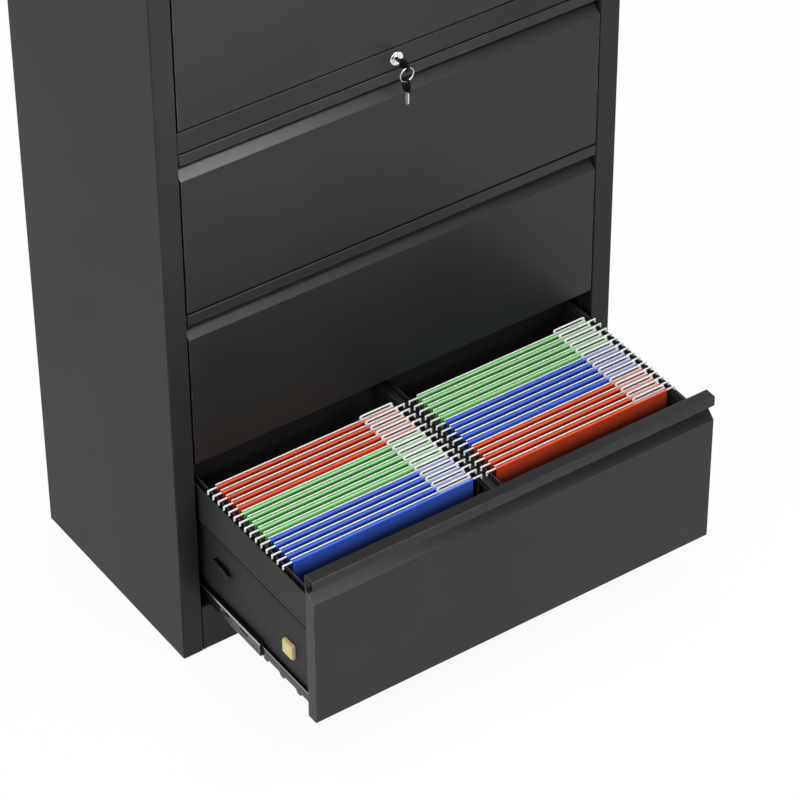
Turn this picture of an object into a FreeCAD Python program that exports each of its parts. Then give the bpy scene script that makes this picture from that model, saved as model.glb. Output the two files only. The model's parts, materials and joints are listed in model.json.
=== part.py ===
"""Lateral filing cabinet with four drawers, a lock rail and hanging files, in millimetres.

Every piece is first built in the case frame: x = 0 at the middle of the case, y = 0 at the closed
drawer fronts with +y towards the back, and z = 0 on the floor.  Drawer pieces are built in the frame
of their own closed drawer, with z = 0 at the bottom edge of its front.  The saved frame has its
origin at the middle of the bottom of the whole cabinet as it stands, with its bottom drawer open.
"""
import FreeCAD, Part
import math
import os
from FreeCAD import Vector

# ---------------------------------------------------------------- driving dimensions: the case
width = 900.0
depth = 450.0
case_sheet = 1.2            # steel of the case
bend = 1.0                  # inside radius of a fold in the case
foot_gap = 3.0              # the case stands this far above the floor, on its levelling feet
plinth_height = 99.0
stile_width = 39.5          # folded front edge of each side panel
stile_return = 25.0         # depth of the stile's inner return
back_flange = 16.0          # rear edge of each side panel, folded over the back
floor_flange = 38.0         # bottom edge of each side panel, which takes the feet
floor_flange_sheet = 2.5
cap_height = 22.0           # folded edge of the top panel
cap_round = 2.5
pan_flange = 40.0           # side flange of the base pan
pan_setback = 3.0           # the pan's front edge behind the plinth's face
plinth_gap = 1.0            # between the plinth's ends and the stiles
plinth_return = 20.0        # depth of the plinth's end returns
plinth_ledge = 60.0         # top flange of the plinth, under the base pan
plinth_foot = 25.0          # bottom flange of the plinth

# ---------------------------------------------------------------- drawers
front_height = 312.5
front_gap = 3.5             # between one drawer front and the next
side_gap = 2.5              # between a drawer front and the stile
base_reveal = 3.5           # between the plinth and the lowest front
cap_gap = 2.5               # between the top front and the cap
rail_height = 40.0          # lock rail between the first and the second drawer
rail_gap = 2.5              # between the lock rail and the fronts next to it
rail_depth = 40.0
front_depth = 24.0          # thickness of a drawer front
lip_height = 19.5           # overhanging pull lip
pull_opening = 31.5         # open height of the finger pull under the lip
pull_rise = 22.0            # rise of the slope from the face to the back of the pull
drawer_sheet = 1.0
drawer_bend = 0.6           # inside radius of a fold in the drawers and slides
box_lift = 12.5             # the drawer's box starts this far above its front's bottom edge
box_rear_gap = 25.0         # behind the drawer's box
slide_space = 13.0          # room for the slide between the upright and the drawer's lower wall
band_gap = 1.5              # between the upright and the drawer's upper band
band_base = 189.5           # height of the step between the lower wall and the band
groove_rise = 21.5          # height of the groove pressed into the wall below that step
groove_depth = 5.0
rim_height = 263.5          # top of the band
rim_hem = 2.0
wall_foot = 12.0            # flange of the wall under the drawer's bottom
travel = 400.0              # full travel of a drawer
short_of_travel = 50.0      # the bottom drawer stands open, this far short of its full travel

# ---------------------------------------------------------------- uprights and slides
upright_proud = 4.5         # the uprights' faces stand this far inside the stiles
upright_depth = 30.0
upright_clear = 1.0         # behind the stile's return
slide_front = 28.0          # front end of the fixed member
slide_rear_gap = 30.0       # behind the fixed member
slide_sheet = 1.2
slide_height = 30.0         # height of the fixed member
slide_centre = 26.5         # height of the slide's middle above the front's bottom edge
track_gap = 0.5             # running gap between the members
mid_front = 34.0            # front end of the intermediate member, drawer closed
mid_short = 36.0            # the intermediate member is this much shorter than the fixed one
mid_bend = 2.0              # inside radius of its rolled tracks
mid_share = 0.586           # share of the drawer's travel that the intermediate member makes
mid_groove_height = 2.0     # pressed line along the intermediate member's web
mid_groove_depth = 0.8
mid_groove_drop = 3.3       # middle of that line, below the middle of the member
race = 3.5                  # ball race between the intermediate and the inner member's flanges
race_inset = 0.5            # the races end this far inside the intermediate flanges
stop_proud = 3.0            # moulded stop, in front of the intermediate member's end
stop_core = 10.0            # the stop's core inside the member
inner_short = 8.0           # the inner member is this much shorter than the fixed one
inner_inset = 3.5           # between the intermediate web and the inner member's web
strip_bottom = 5.5          # mounting strip of the inner member, below the drawer's box
lug_drop = 6.3
lug_length = 19.0
lug_slope = 5.2             # length of each lug's sloping end
lug_places = (63.5, 114.0, 163.5)
mid_slot_height = 4.8
mid_slots = ((33.0, 26.0), (89.0, 17.5))        # place behind the member's front end, and length
slot_rise = 4.9             # the slots lie above the middle of the member
hook_slot_height = 9.0      # slots in the uprights, behind each slide
hook_slot_width = 4.0
hook_slot_pitch = 25.0

# ---------------------------------------------------------------- fittings on the drawer's walls
bumper_front = 82.0
bumper_length = 29.0
bumper_bottom = 74.7
bumper_height = 28.0
bumper_thickness = 8.0
bumper_chamfer = 2.0
catch_from_back = 143.0     # front of the catch's window, in front of the rear wall
catch_length = 53.0         # length of the window
catch_slant = 18.0          # the window's rear end leans forward by this much
catch_bottom = 107.5
catch_height = 21.5
catch_root = 4.5            # height of the tapered tongue where it leaves the wall
catch_end = 13.5            # height of the tongue at its free end
catch_angle = 8.0           # the tongue is bent outwards by these degrees
catch_tip = 11.0            # the tongue's tip passes the window's front by this much
catch_tip_height = 11.0
catch_pocket = 5.0          # depth of the tray that closes the window on the inside
file_rail_sheet = 1.0
side_rail_sheet = 1.5
hook_space = 8.5            # between the drawer's band and the outside of the side file rail
file_rail_top = 269.9
centre_rail_half = 11.0
rail_height_in_drawer = 15.0        # height of the file rails

# ---------------------------------------------------------------- hanging files in the bottom drawer
files_per_colour = 5
file_pitch = 16.17
file_rear_gap = 99.0        # from the rearmost file's bar to the back of the drawer's box
bar_height = 2.6
bar_sheet = 1.6
bar_end_gap = 2.7           # between a bar's outer end and the drawer's band
bar_inner_end = 4.2         # inner end of a bar, from the middle
hook_drop = 6.4
hook_width = 3.0
bar_show = 18.8             # length of bar between its outer end and the file
bar_inner_show = 19.8
file_drop = 236.0           # height of a file below its bar's top
fold_front = 1.5            # the front leaf's fold, in front of the bar's middle
leaf_thickness = 1.4
file_thickness = 6.5        # rear leaf's back, behind the bar's middle
filling_drop = 9.0          # the papers end this far below the fold
fold_rise = 1.0
tab_width = 68.0
tab_height = 9.5
tab_sheet = 1.0
tab_margin = 2.0            # between the tab and the right edge of its file
tab_slot_height = 4.6
tab_rim = 3.4
tab_skirt = 0.6             # thickness of the tab's skirt over the file's fold

# ---------------------------------------------------------------- lock, keys and locking bar
housing_radius = 9.5
housing_length = 26.0
housing_flange_radius = 12.5
housing_flange = 2.5
nut_radius = 13.0
nut_thickness = 4.0
plug_radius = 7.0
plug_clearance = 0.05
plug_proud = 1.0
tail_radius = 3.0
crank_sheet = 2.5
crank_half_width = 4.0
crank_pin_radius = 2.0
lock_travel = 16.0          # stroke of the rod and of the locking bar
rod_sheet = 2.0
rod_height = 12.0
rod_rise = 4.0              # the rod's bottom above the lock's axis
rod_slot_play = 0.6
rod_past_axis = 2.0         # the rod ends this far beyond the lock's axis
bar_offset = 14.0           # middle of the locking bar, outside the uprights' faces
plate_low = 12.0            # the rod's end plate reaches this far below the lock's axis
plate_high = 20.0
bar_width = 16.0
lock_bar_sheet = 3.0
lock_play = 0.3             # running gap in the guides
pin_radius = 3.0
pin_drop = 4.0              # the bar's pin below the lock's axis
lug_height = 14.0
lug_below_bumper = 2.0
lug_end_play = 3.0          # between a lug and the closed drawer's bumper
lug_clear = 2.5             # between a lug and the drawer's lower wall
bar_past_end = 20.0
rod_guide_shares = (0.25, 0.75)     # places along the way from the middle to the left stile
guided_drawers = (2, 3, 4)  # the locking bar has a guide at the middle of these drawers
guide_sheet = 1.4
guide_height = 10.0
key_thickness = 4.0
key_head_width = 16.0
key_head_length = 24.0
key_head_round = 4.5
key_hole_radius = 3.2
key_hole_inset = 6.0        # hole's middle from the end of the head
key_blade_thickness = 2.0
key_blade_width = 7.2
key_blade_length = 24.0
key_hole_y = -30.0          # hole of the key, in front of the rail
keyway_play = 0.1

# ---------------------------------------------------------------- feet, counterweight, screws
foot_inset_x = 20.0
foot_inset_y = 40.0
foot_radius = 16.0
stud_radius = 5.0
stud_clearance = 0.05
stud_length = 42.0
weight_side_gap = 110.0     # between the counterweight and the outside of the case
weight_rear_gap = 25.0
weight_depth = 160.0
weight_height = 40.0
screw_head_radius = 4.0
screw_head_height = 1.8
screw_shank_radius = 1.9
screw_shank_length = 5.0
screw_margin = 45.0
back_screw_count = 8

# ---------------------------------------------------------------- places worked out from them
half = width / 2
inside_x = half - case_sheet
stile_x = half - stile_width
front_half = stile_x - side_gap
upright_x = stile_x - upright_proud     # faces of the uprights that the slides are fixed to
wall_x = upright_x - slide_space        # outside of a drawer's lower wall
band_x = upright_x - band_gap           # outside of a drawer's upper band
file_rail_x = band_x - hook_space       # outside of the side file rail
bar_x = upright_x + bar_offset          # middle of the locking bar
lug_inner_x = wall_x + lug_clear
bumper_x = wall_x + bumper_thickness
plinth_top = foot_gap + plinth_height
pan_top = plinth_top + case_sheet
pitch = front_height + front_gap
lowest_front = plinth_top + base_reveal
rail_bottom = lowest_front + 3 * pitch - front_gap + rail_gap
rail_top = rail_bottom + rail_height
front_bottoms = {4: lowest_front, 3: lowest_front + pitch, 2: lowest_front + 2 * pitch,
                 1: rail_top + rail_gap}
case_top = front_bottoms[1] + front_height + cap_gap
height = case_top + cap_height
lock_z = (rail_bottom + rail_top) / 2
back_y = depth - case_sheet             # rear face of the back panel
upright_y = stile_return + upright_clear
slide_back = depth - slide_rear_gap
slide_length = slide_back - slide_front
mid_length = slide_length - mid_short
inner_length = slide_length - inner_short
box_back = depth - box_rear_gap
face_height = front_height - lip_height - pull_opening
bar_y = upright_y + upright_depth + lock_play
rod_y = bar_y + lock_bar_sheet + track_gap
crank_y = rod_y + rod_sheet + track_gap
crank_radius = lock_travel / math.sqrt(2)
drawer_open = {1: 0.0, 2: 0.0, 3: 0.0, 4: travel - short_of_travel}
origin_y = (depth + screw_head_height - drawer_open[4]) / 2

AXES = {"x": lambda u, v, w: Vector(w, u, v),      # outline in y and z
        "y": lambda u, v, w: Vector(u, w, v),      # outline in x and z
        "z": lambda u, v, w: Vector(u, v, w)}      # outline in x and y


# ---------------------------------------------------------------- shapes
def box(x0, x1, y0, y1, z0, z1):
    return Part.makeBox(x1 - x0, y1 - y0, z1 - z0, Vector(x0, y0, z0))


def rod_along_y(radius, y0, y1, x=0.0, z=0.0):
    return Part.makeCylinder(radius, y1 - y0, Vector(x, y0, z), Vector(0, 1, 0))


def prism(points, along, start, end):
    """A straight-sided outline, drawn out along one axis."""
    corners = [AXES[along](u, v, start) for u, v in points]
    face = Part.Face(Part.makePolygon(corners + corners[:1]))
    return face.extrude(AXES[along](0, 0, end - start))


def left_of(a, b):
    """Unit normal on the left of the way from a to b."""
    du, dv = b[0] - a[0], b[1] - a[1]
    size = math.hypot(du, dv)
    return (-dv / size, du / size)


def folded(points, along, start, end, sheet=case_sheet, radius=bend):
    """Sheet metal folded along a line of points, with the metal on the right of that line."""
    near = [[points[0]]]
    far = [[offset(points[0], left_of(points[0], points[1]), -sheet)]]
    for a, p, b in zip(points, points[1:], points[2:]):
        n0, n1 = left_of(a, p), left_of(p, b)
        turns_left = n0[0] * n1[1] - n0[1] * n1[0] > 0
        inset = radius if turns_left else -(radius + sheet)
        share = inset / (1 + n0[0] * n1[0] + n0[1] * n1[1])
        centre = (p[0] + share * (n0[0] + n1[0]), p[1] + share * (n0[1] + n1[1]))
        size = math.hypot(n0[0] + n1[0], n0[1] + n1[1])
        middle = ((n0[0] + n1[0]) / size, (n0[1] + n1[1]) / size)
        near.append([offset(centre, n, -inset) for n in (n0, middle, n1)])
        far.append([offset(centre, n, -inset - sheet) for n in (n0, middle, n1)])
    near.append([points[-1]])
    far.append([offset(points[-1], left_of(points[-2], points[-1]), -sheet)])
    back = [list(reversed(run)) for run in reversed(far)]
    return Part.Face(outline(near + back, along, start)).extrude(AXES[along](0, 0, end - start))


def offset(point, normal, distance):
    return (point[0] + distance * normal[0], point[1] + distance * normal[1])


def outline(runs, along, level):
    """Closed wire through the runs: a run of one point is a corner, a run of three an arc."""
    placed = [[AXES[along](u, v, level) for u, v in run] for run in runs]
    edges = []
    for run, following in zip(placed, placed[1:] + placed[:1]):
        if len(run) == 3:
            edges.append(Part.Arc(*run).toShape())
        edges.append(Part.LineSegment(run[-1], following[0]).toShape())
    return Part.Wire(edges)


def joined(*pieces):
    return pieces[0].fuse(list(pieces[1:])).removeSplitter()


def mirrored(shape):
    return shape.mirror(Vector(0, 0, 0), Vector(1, 0, 0))


def both_sides(shape):
    """The left piece and its right-hand twin."""
    return [shape, mirrored(shape)]


def moved(shape, x=0.0, y=0.0, z=0.0):
    copy = shape.copy()
    copy.translate(Vector(x, y, z))
    return copy


def slotted(length, slot_height, along_depth, centre):
    """A round-ended slot cutter, long in x, that cuts along y."""
    x, y, z = centre
    reach = length / 2 - slot_height / 2
    ends = [rod_along_y(slot_height / 2, y, y + along_depth, x + side * reach, z) for side in (-1, 1)]
    middle = box(x - reach, x + reach, y, y + along_depth, z - slot_height / 2, z + slot_height / 2)
    return joined(middle, *ends)


# ---------------------------------------------------------------- case
def side_panel():
    """Left side: stile at the front, flange behind the back panel, foot flange below."""
    plan = [(-stile_x, stile_return), (-stile_x, 0), (-half, 0), (-half, depth),
            (-half + back_flange, depth)]
    skin = folded(plan, "z", foot_gap, case_top)
    flange = box(-half + case_sheet / 2, -half + floor_flange, case_sheet / 2, depth - case_sheet / 2,
                 foot_gap, foot_gap + floor_flange_sheet)
    for y in foot_rows():
        hole = Part.makeCylinder(stud_radius + stud_clearance, floor_flange_sheet,
                                 Vector(-half + foot_inset_x, y, foot_gap))
        flange = flange.cut(hole)
    return joined(skin, flange)


def foot_rows():
    return (foot_inset_y, depth - foot_inset_y)


def back_panel():
    """Sheet inside the sides' rear flanges, clear of the insides of their folds."""
    edge = inside_x - bend
    low = foot_gap + floor_flange_sheet
    return box(-edge, edge, back_y - case_sheet, back_y, low, case_top)


def top_panel():
    """Cap with a folded edge all round, resting on the top edges of the sides."""
    outer = box(-half, half, 0, depth, case_top, height)
    upright_edges = [edge for edge in outer.Edges if edge.BoundBox.ZLength > cap_height / 2]
    top_edges = [edge for edge in outer.Edges if edge.BoundBox.ZMin > case_top + cap_height / 2]
    outer = outer.makeFillet(cap_round, upright_edges + top_edges)
    inner = box(-inside_x, inside_x, case_sheet, back_y, case_top, height - case_sheet)
    corners = [edge for edge in inner.Edges if edge.BoundBox.ZLength > cap_height / 2]
    inner = inner.makeFillet(cap_round - case_sheet, corners)
    return outer.cut(inner)


def base_pan():
    """Floor of the case, with flanges down the sides and an apron between the stiles."""
    section = [(-inside_x, pan_top - pan_flange), (-inside_x, pan_top), (inside_x, pan_top),
               (inside_x, pan_top - pan_flange)]
    pan = folded(section, "y", upright_y, back_y - case_sheet)
    apron = box(-front_half, front_half, pan_setback, upright_y, plinth_top, pan_top)
    return joined(pan, apron)


def plinth():
    """Kick plate between the stiles, with its ends folded back."""
    section = [(plinth_foot, foot_gap), (0, foot_gap), (0, plinth_top), (plinth_ledge, plinth_top)]
    skin = folded(section, "x", -front_half, front_half)
    edge = stile_x - plinth_gap
    plan = [(-front_half + bend, 0), (-edge, 0), (-edge, plinth_return)]
    end = folded(plan, "z", foot_gap, plinth_top)
    return joined(skin, end, mirrored(end))


def lock_rail():
    """Channel between the stiles, with the lock's hole and two loops that guide the rod."""
    section = [(rail_depth, rail_bottom), (0, rail_bottom), (0, rail_top), (rail_depth, rail_top)]
    rail = folded(section, "x", -stile_x, stile_x)
    rail = rail.cut(rod_along_y(housing_radius, 0, case_sheet, z=lock_z))
    notch = box(upright_x - upright_clear, stile_x, stile_return, rail_depth, rail_bottom, rail_top)
    rail = rail.cut(notch).cut(mirrored(notch))
    return joined(rail, *[rod_guide(-share * stile_x) for share in rod_guide_shares])


def rod_guide(x):
    """Loop behind the rail that the rod slides through."""
    front = rod_y - lock_play
    rear = rod_y + rod_sheet + lock_play
    low = lock_z + rod_rise - lock_play
    side = guide_height / 2
    arm = box(x - side, x + side, rail_depth - guide_sheet, rear + guide_sheet,
              rail_top - case_sheet, rail_top)
    legs = [box(x - side, x + side, y, y + guide_sheet, low - guide_sheet, rail_top)
            for y in (front - guide_sheet, rear)]
    sill = box(x - side, x + side, front - guide_sheet, rear + guide_sheet, low - guide_sheet, low)
    return joined(arm, sill, *legs)


def upright(y):
    """Left-hand channel with slots behind each slide."""
    plan = [(-inside_x, y + upright_depth), (-upright_x, y + upright_depth), (-upright_x, y),
            (-inside_x, y)]
    post = folded(plan, "z", pan_top, case_top)
    middle = y + upright_depth / 2
    for bottom in front_bottoms.values():
        for step in (-1, 0, 1):
            z = bottom + slide_centre + step * hook_slot_pitch
            post = post.cut(box(-upright_x - case_sheet, -upright_x, middle - hook_slot_width / 2,
                                middle + hook_slot_width / 2, z - hook_slot_height / 2,
                                z + hook_slot_height / 2))
    return post


def bar_guide(z):
    """Loop on the rear of the left front upright that the locking bar slides through."""
    left = -bar_x - bar_width / 2 - lock_play
    right = -bar_x + bar_width / 2 + lock_play
    front = upright_y + upright_depth
    rear = bar_y + lock_bar_sheet + lock_play
    loop = box(left - guide_sheet, right + guide_sheet, front, rear + guide_sheet, z, z + guide_height)
    return loop.cut(box(left, right, front, rear, z, z + guide_height))


def uprights():
    front = upright(upright_y)
    rear = upright(slide_back - upright_depth)
    between = [front_bottoms[n] + front_height / 2 for n in guided_drawers]
    return [joined(front, *[bar_guide(z) for z in between]), rear, mirrored(front), mirrored(rear)]


def levelling_feet():
    foot = joined(Part.makeCylinder(foot_radius, foot_gap),
                  Part.makeCylinder(stud_radius, stud_length))
    places = [(side * (half - foot_inset_x), y) for side in (-1, 1) for y in foot_rows()]
    return [moved(foot, x, y) for x, y in places]


def counterweight():
    """Cast slab under the base pan that keeps the cabinet upright with a drawer open."""
    reach = half - weight_side_gap
    rear = depth - weight_rear_gap
    return box(-reach, reach, rear - weight_depth, rear, plinth_top - weight_height, plinth_top)


def case_screws():
    """Screws that hold the back panel's edges to the side panels."""
    length = case_top - foot_gap - 2 * screw_margin
    step = length / (back_screw_count - 1)
    shank = rod_along_y(screw_shank_radius, depth - screw_shank_length, depth)
    head = rod_along_y(screw_head_radius, depth, depth + screw_head_height)
    rim = [edge for edge in head.Edges if edge.BoundBox.YMin > depth + screw_head_height / 2]
    screw = joined(shank, head.makeFillet(screw_head_height / 2, rim[:1]))
    x = half - back_flange / 2
    return [moved(screw, side * x, z=foot_gap + screw_margin + row * step)
            for side in (-1, 1) for row in range(back_screw_count)]


def with_screw_holes(shape):
    """The back edges drilled for their screws."""
    for screw in case_screws():
        middle = screw.BoundBox.Center
        hole = rod_along_y(screw_shank_radius, depth - screw_shank_length, depth, middle.x, middle.z)
        shape = shape.cut(hole)
    return shape


# ---------------------------------------------------------------- slides, in the drawer's frame
strip_x = wall_x + slide_sheet                      # outside of the inner member's mounting strip
race_edge = strip_x + slide_sheet + track_gap       # inner edge of the other members' flanges
mid_web = upright_x - slide_sheet - track_gap       # outside of the intermediate member's web
inner_face = mid_web - slide_sheet - inner_inset    # outside of the inner member's web
mid_half_height = slide_height / 2 - slide_sheet - track_gap
inner_half_height = mid_half_height - slide_sheet - race - track_gap


def channel(web, edge, half_height, y0, y1, radius=drawer_bend):
    """Slide member on the left: its web's back lies at -web, its flanges end at -edge."""
    low, high = slide_centre - half_height, slide_centre + half_height
    section = [(-edge, low), (-web, low), (-web, high), (-edge, high)]
    return folded(section, "y", y0, y1, sheet=slide_sheet, radius=radius)


def slide_outer():
    return channel(upright_x, race_edge, slide_height / 2, slide_front, slide_back)


def slide_mid():
    """Intermediate member: its channel with two long slots and a pressed line, and its ball races."""
    y0, y1 = mid_front, mid_front + mid_length
    member = channel(mid_web, race_edge, mid_half_height, y0, y1, mid_bend)
    z = slide_centre + slot_rise
    for place, length in mid_slots:
        y = mid_front + place
        member = member.cut(box(-mid_web, -mid_web + slide_sheet, y, y + length,
                                z - mid_slot_height / 2, z + mid_slot_height / 2))
    z = slide_centre - mid_groove_drop
    member = member.cut(box(-mid_web, -mid_web + mid_groove_depth, y0, y1, z - mid_groove_height / 2,
                            z + mid_groove_height / 2))
    far = mid_half_height - slide_sheet
    races = [box(-mid_web + slide_sheet + mid_bend, -race_edge - race_inset, y0, y1,
                 slide_centre + low, slide_centre + low + race) for low in (-far, far - race)]
    return joined(member, *races)


def slide_stop():
    """Moulded stop on the intermediate member's front end, with a core beside the inner member."""
    y0 = mid_front - stop_proud
    cap = channel(mid_web, race_edge, mid_half_height, y0, mid_front, mid_bend)
    core_half = inner_half_height
    core = box(-mid_web + slide_sheet, -inner_face - track_gap, y0, mid_front + stop_core,
               slide_centre - core_half, slide_centre + core_half)
    web = box(-mid_web, -mid_web + slide_sheet, y0, mid_front, slide_centre - core_half,
              slide_centre + core_half)
    return joined(cap, core, web)


def slide_inner():
    """Inner member: a shallow channel on a mounting strip with three small lugs below the drawer."""
    low = box_lift - strip_bottom
    high = slide_centre + inner_half_height
    back = slide_front + inner_length
    member = channel(inner_face, strip_x, inner_half_height, slide_front, back)
    strip = box(-strip_x, -wall_x, slide_front, back, low, high)
    lugs = [prism([(y, low), (y + lug_slope, low - lug_drop), (y + lug_length - lug_slope, low - lug_drop),
                   (y + lug_length, low)], "x", -strip_x, -wall_x) for y in lug_places]
    return joined(member, strip, *lugs)


# ---------------------------------------------------------------- drawer, in its own frame
pull_back = front_depth - drawer_sheet              # depth of the finger pull
pull_foot = face_height + pull_rise                 # where the slope meets the pull's back
wall_inside = wall_x - drawer_sheet
box_floor = box_lift + drawer_sheet                 # top of the wall's foot, which carries the bottom


def drawer_front():
    """One folded sheet: bottom flange, face, slope and back of the finger pull, lip; two cheeks."""
    lip_inside = front_height - drawer_sheet
    section = [(pull_back, 0), (0, 0), (0, face_height), (pull_back, pull_foot),
               (pull_back, lip_inside), (drawer_sheet, lip_inside),
               (drawer_sheet, front_height - lip_height)]
    skin = folded(section, "x", -front_half, front_half, sheet=drawer_sheet, radius=drawer_bend)
    middle = drawer_sheet / 2
    cheek = prism([(middle, middle), (middle, face_height), (pull_back, pull_foot - middle),
                   (pull_back, middle)], "x", -front_half, -front_half + drawer_sheet)
    return joined(skin, cheek, mirrored(cheek))


def front_liner():
    """Inner panel that closes the back of the front below the finger pull."""
    edge = front_half - drawer_sheet
    return box(-edge, edge, pull_back, front_depth, drawer_sheet, pull_foot - 2 * drawer_sheet)


def drawer_side():
    """Left wall: foot, lower wall, groove, step out to the band, band and hem, with its catch."""
    groove_x = wall_x - groove_depth
    ledge = band_base - groove_rise
    section = [(-wall_x + wall_foot, box_lift), (-wall_x, box_lift), (-wall_x, ledge),
               (-groove_x, ledge), (-groove_x, band_base), (-band_x, band_base),
               (-band_x, rim_height), (-band_x + rim_hem, rim_height)]
    wall = folded(section, "y", front_depth, box_back, sheet=drawer_sheet, radius=drawer_bend)
    front = box_back - catch_from_back
    rear = front + catch_length
    top = catch_bottom + catch_height
    window = prism([(front, catch_bottom), (rear, catch_bottom), (rear - catch_slant, top),
                    (front, top)], "x", -wall_x, -wall_inside)
    return joined(wall.cut(window), catch_tongue(front, rear), window_tray(front, rear))


def catch_tongue(front, rear):
    """Tapered tongue bent out of the wall about its root, with a square tip at its free end."""
    tip_top = catch_bottom + catch_tip_height
    section = [(rear + drawer_sheet, catch_bottom), (rear + drawer_sheet, catch_bottom + catch_root),
               (front, catch_bottom + catch_end), (front, tip_top), (front - catch_tip, tip_top),
               (front - catch_tip, catch_bottom)]
    tongue = prism(section, "x", -wall_x, -wall_inside)
    tongue.rotate(Vector(-wall_x, rear + drawer_sheet, 0), Vector(0, 0, 1), -catch_angle)
    return tongue


def window_tray(y0, y1):
    """Shallow tray on the inside of the wall that closes the catch's window."""
    rim = drawer_sheet
    low, high = catch_bottom, catch_bottom + catch_height
    outer = box(-wall_inside, -wall_inside + catch_pocket, y0 - rim, y1 + rim, low - rim, high + rim)
    return outer.cut(box(-wall_inside, -wall_inside + catch_pocket - rim, y0, y1, low, high))


def drawer_bottom():
    """Bottom sheet on the feet of the walls, with its front and rear edges turned down."""
    section = [(front_depth, box_lift), (front_depth, box_floor + drawer_sheet),
               (box_back, box_floor + drawer_sheet), (box_back, box_lift)]
    middle = wall_x - wall_foot - drawer_sheet
    tray = folded(section, "x", -middle, middle, sheet=drawer_sheet, radius=drawer_bend)
    edge = wall_inside - drawer_bend
    floor = box(-edge, edge, front_depth + drawer_sheet, box_back - 2 * drawer_sheet, box_floor,
                box_floor + drawer_sheet)
    return joined(tray, floor)


def drawer_back():
    """Rear wall that follows the side walls' groove and step, with a flange along its top."""
    clear = drawer_sheet + drawer_bend
    foot = wall_x - clear
    waist = foot - groove_depth
    wide = band_x - drawer_sheet
    low = box_floor + drawer_sheet
    ledge = band_base - groove_rise - clear
    above = band_base + drawer_sheet + clear
    left = [(-foot, low), (-foot, ledge), (-waist, ledge), (-waist, above)]
    right = [(-x, z) for x, z in reversed(left)]
    plate = prism(left + right, "y", box_back - drawer_sheet, box_back)
    top = file_rail_top - rail_height_in_drawer
    section = [(box_back - wall_foot, top), (box_back, top), (box_back, above)]
    upper = folded(section, "x", -wide, wide, sheet=drawer_sheet, radius=drawer_bend)
    return joined(plate, upper)


def side_file_rail():
    """Flat bar on edge that carries the outer hooks of the files."""
    return box(-file_rail_x, -file_rail_x + side_rail_sheet, front_depth, box_back,
               file_rail_top - rail_height_in_drawer, file_rail_top)


def centre_file_rail():
    """Channel down the middle of the drawer that carries the inner hooks of the files."""
    low = file_rail_top - rail_height_in_drawer
    section = [(-centre_rail_half, file_rail_top), (-centre_rail_half, low), (centre_rail_half, low),
               (centre_rail_half, file_rail_top)]
    section.reverse()
    return folded(section, "y", front_depth, box_back, sheet=file_rail_sheet, radius=drawer_bend)


def bumper():
    """Moulded block on the left wall that the locking bar's lug stands in front of."""
    block = box(-bumper_x, -wall_x, bumper_front, bumper_front + bumper_length, bumper_bottom,
                bumper_bottom + bumper_height)
    rim = [edge for edge in block.Edges if edge.BoundBox.XMax < -wall_x - bumper_thickness / 2]
    return block.makeChamfer(bumper_chamfer, rim)


# ---------------------------------------------------------------- hanging files, bottom drawer
bar_top = file_rail_top + bar_height
fold_top = bar_top + fold_rise
bar_end = band_x - bar_end_gap                      # outer end of a bar
file_outer = bar_end - bar_show
file_inner = bar_inner_end + bar_inner_show
file_spans = ((-file_outer, -file_inner), (file_inner, file_outer))
file_rear = box_back - file_rear_gap                # bar of the rearmost file


def file_rows(colour):
    """Bar positions of one colour's files, from the rear to the front."""
    first = colour * files_per_colour
    return [file_rear - file_pitch * (first + row) for row in range(files_per_colour)]


def folder(y, x0, x1):
    """One file with its papers: a closed slab with a fold round its bar and a raised rear leaf."""
    front = y - fold_front
    inner = y + fold_front
    back = y + file_thickness
    foot = bar_top - file_drop
    section = [(front, foot), (front, fold_top), (inner, fold_top), (inner, fold_top - filling_drop),
               (back - leaf_thickness, fold_top - filling_drop), (back - leaf_thickness, fold_top),
               (back, fold_top), (back, foot)]
    return prism(section, "x", x0, x1).cut(bar_core(y, x0, x1))


def bar_core(y, x0, x1):
    return box(x0, x1, y - bar_sheet / 2, y + bar_sheet / 2, file_rail_top, bar_top)


def folders(colours):
    """Files of one colour in each bank: colours gives the row of that colour on the left and right."""
    return [folder(y, *span) for colour, span in zip(colours, file_spans) for y in file_rows(colour)]


def file_bar(y):
    """Flat bar of the left bank, resting on both file rails, with a hook outside each rail."""
    low = file_rail_top
    tip = file_rail_top - hook_drop
    outline_points = [(-bar_end, bar_top), (-bar_end, tip), (-bar_end + hook_width, tip),
                      (-bar_end + hook_width, low), (-bar_inner_end - hook_width, low),
                      (-bar_inner_end - hook_width, tip), (-bar_inner_end, tip),
                      (-bar_inner_end, bar_top)]
    return prism(outline_points, "y", y - bar_sheet / 2, y + bar_sheet / 2)


def file_bars():
    rows = [y for colour in range(3) for y in file_rows(colour)]
    return [bar for y in rows for bar in both_sides(file_bar(y))]


def file_tab(y, right_edge):
    """Label tab with a long slot on the rear leaf, and its skirt over the fold in front."""
    x1 = right_edge - tab_margin
    x0 = x1 - tab_width
    y0 = y + file_thickness - (leaf_thickness + tab_sheet) / 2
    plate = box(x0, x1, y0, y0 + tab_sheet, fold_top, fold_top + tab_height)
    tops = [edge for edge in plate.Edges
            if edge.BoundBox.YLength > tab_sheet / 2 and edge.BoundBox.ZMin > fold_top]
    plate = plate.makeFillet(tab_height / 3, tops)
    middle = ((x0 + x1) / 2, y0, fold_top + tab_height / 2)
    plate = plate.cut(slotted(tab_width - 2 * tab_rim, tab_slot_height, tab_sheet, middle))
    skirt = box(x0, x1, y - fold_front, y0 + tab_sheet, fold_top, fold_top + tab_skirt)
    return joined(plate, skirt)


def file_tabs():
    rows = [y for colour in range(3) for y in file_rows(colour)]
    return [file_tab(y, right) for _, right in file_spans for y in rows]


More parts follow.
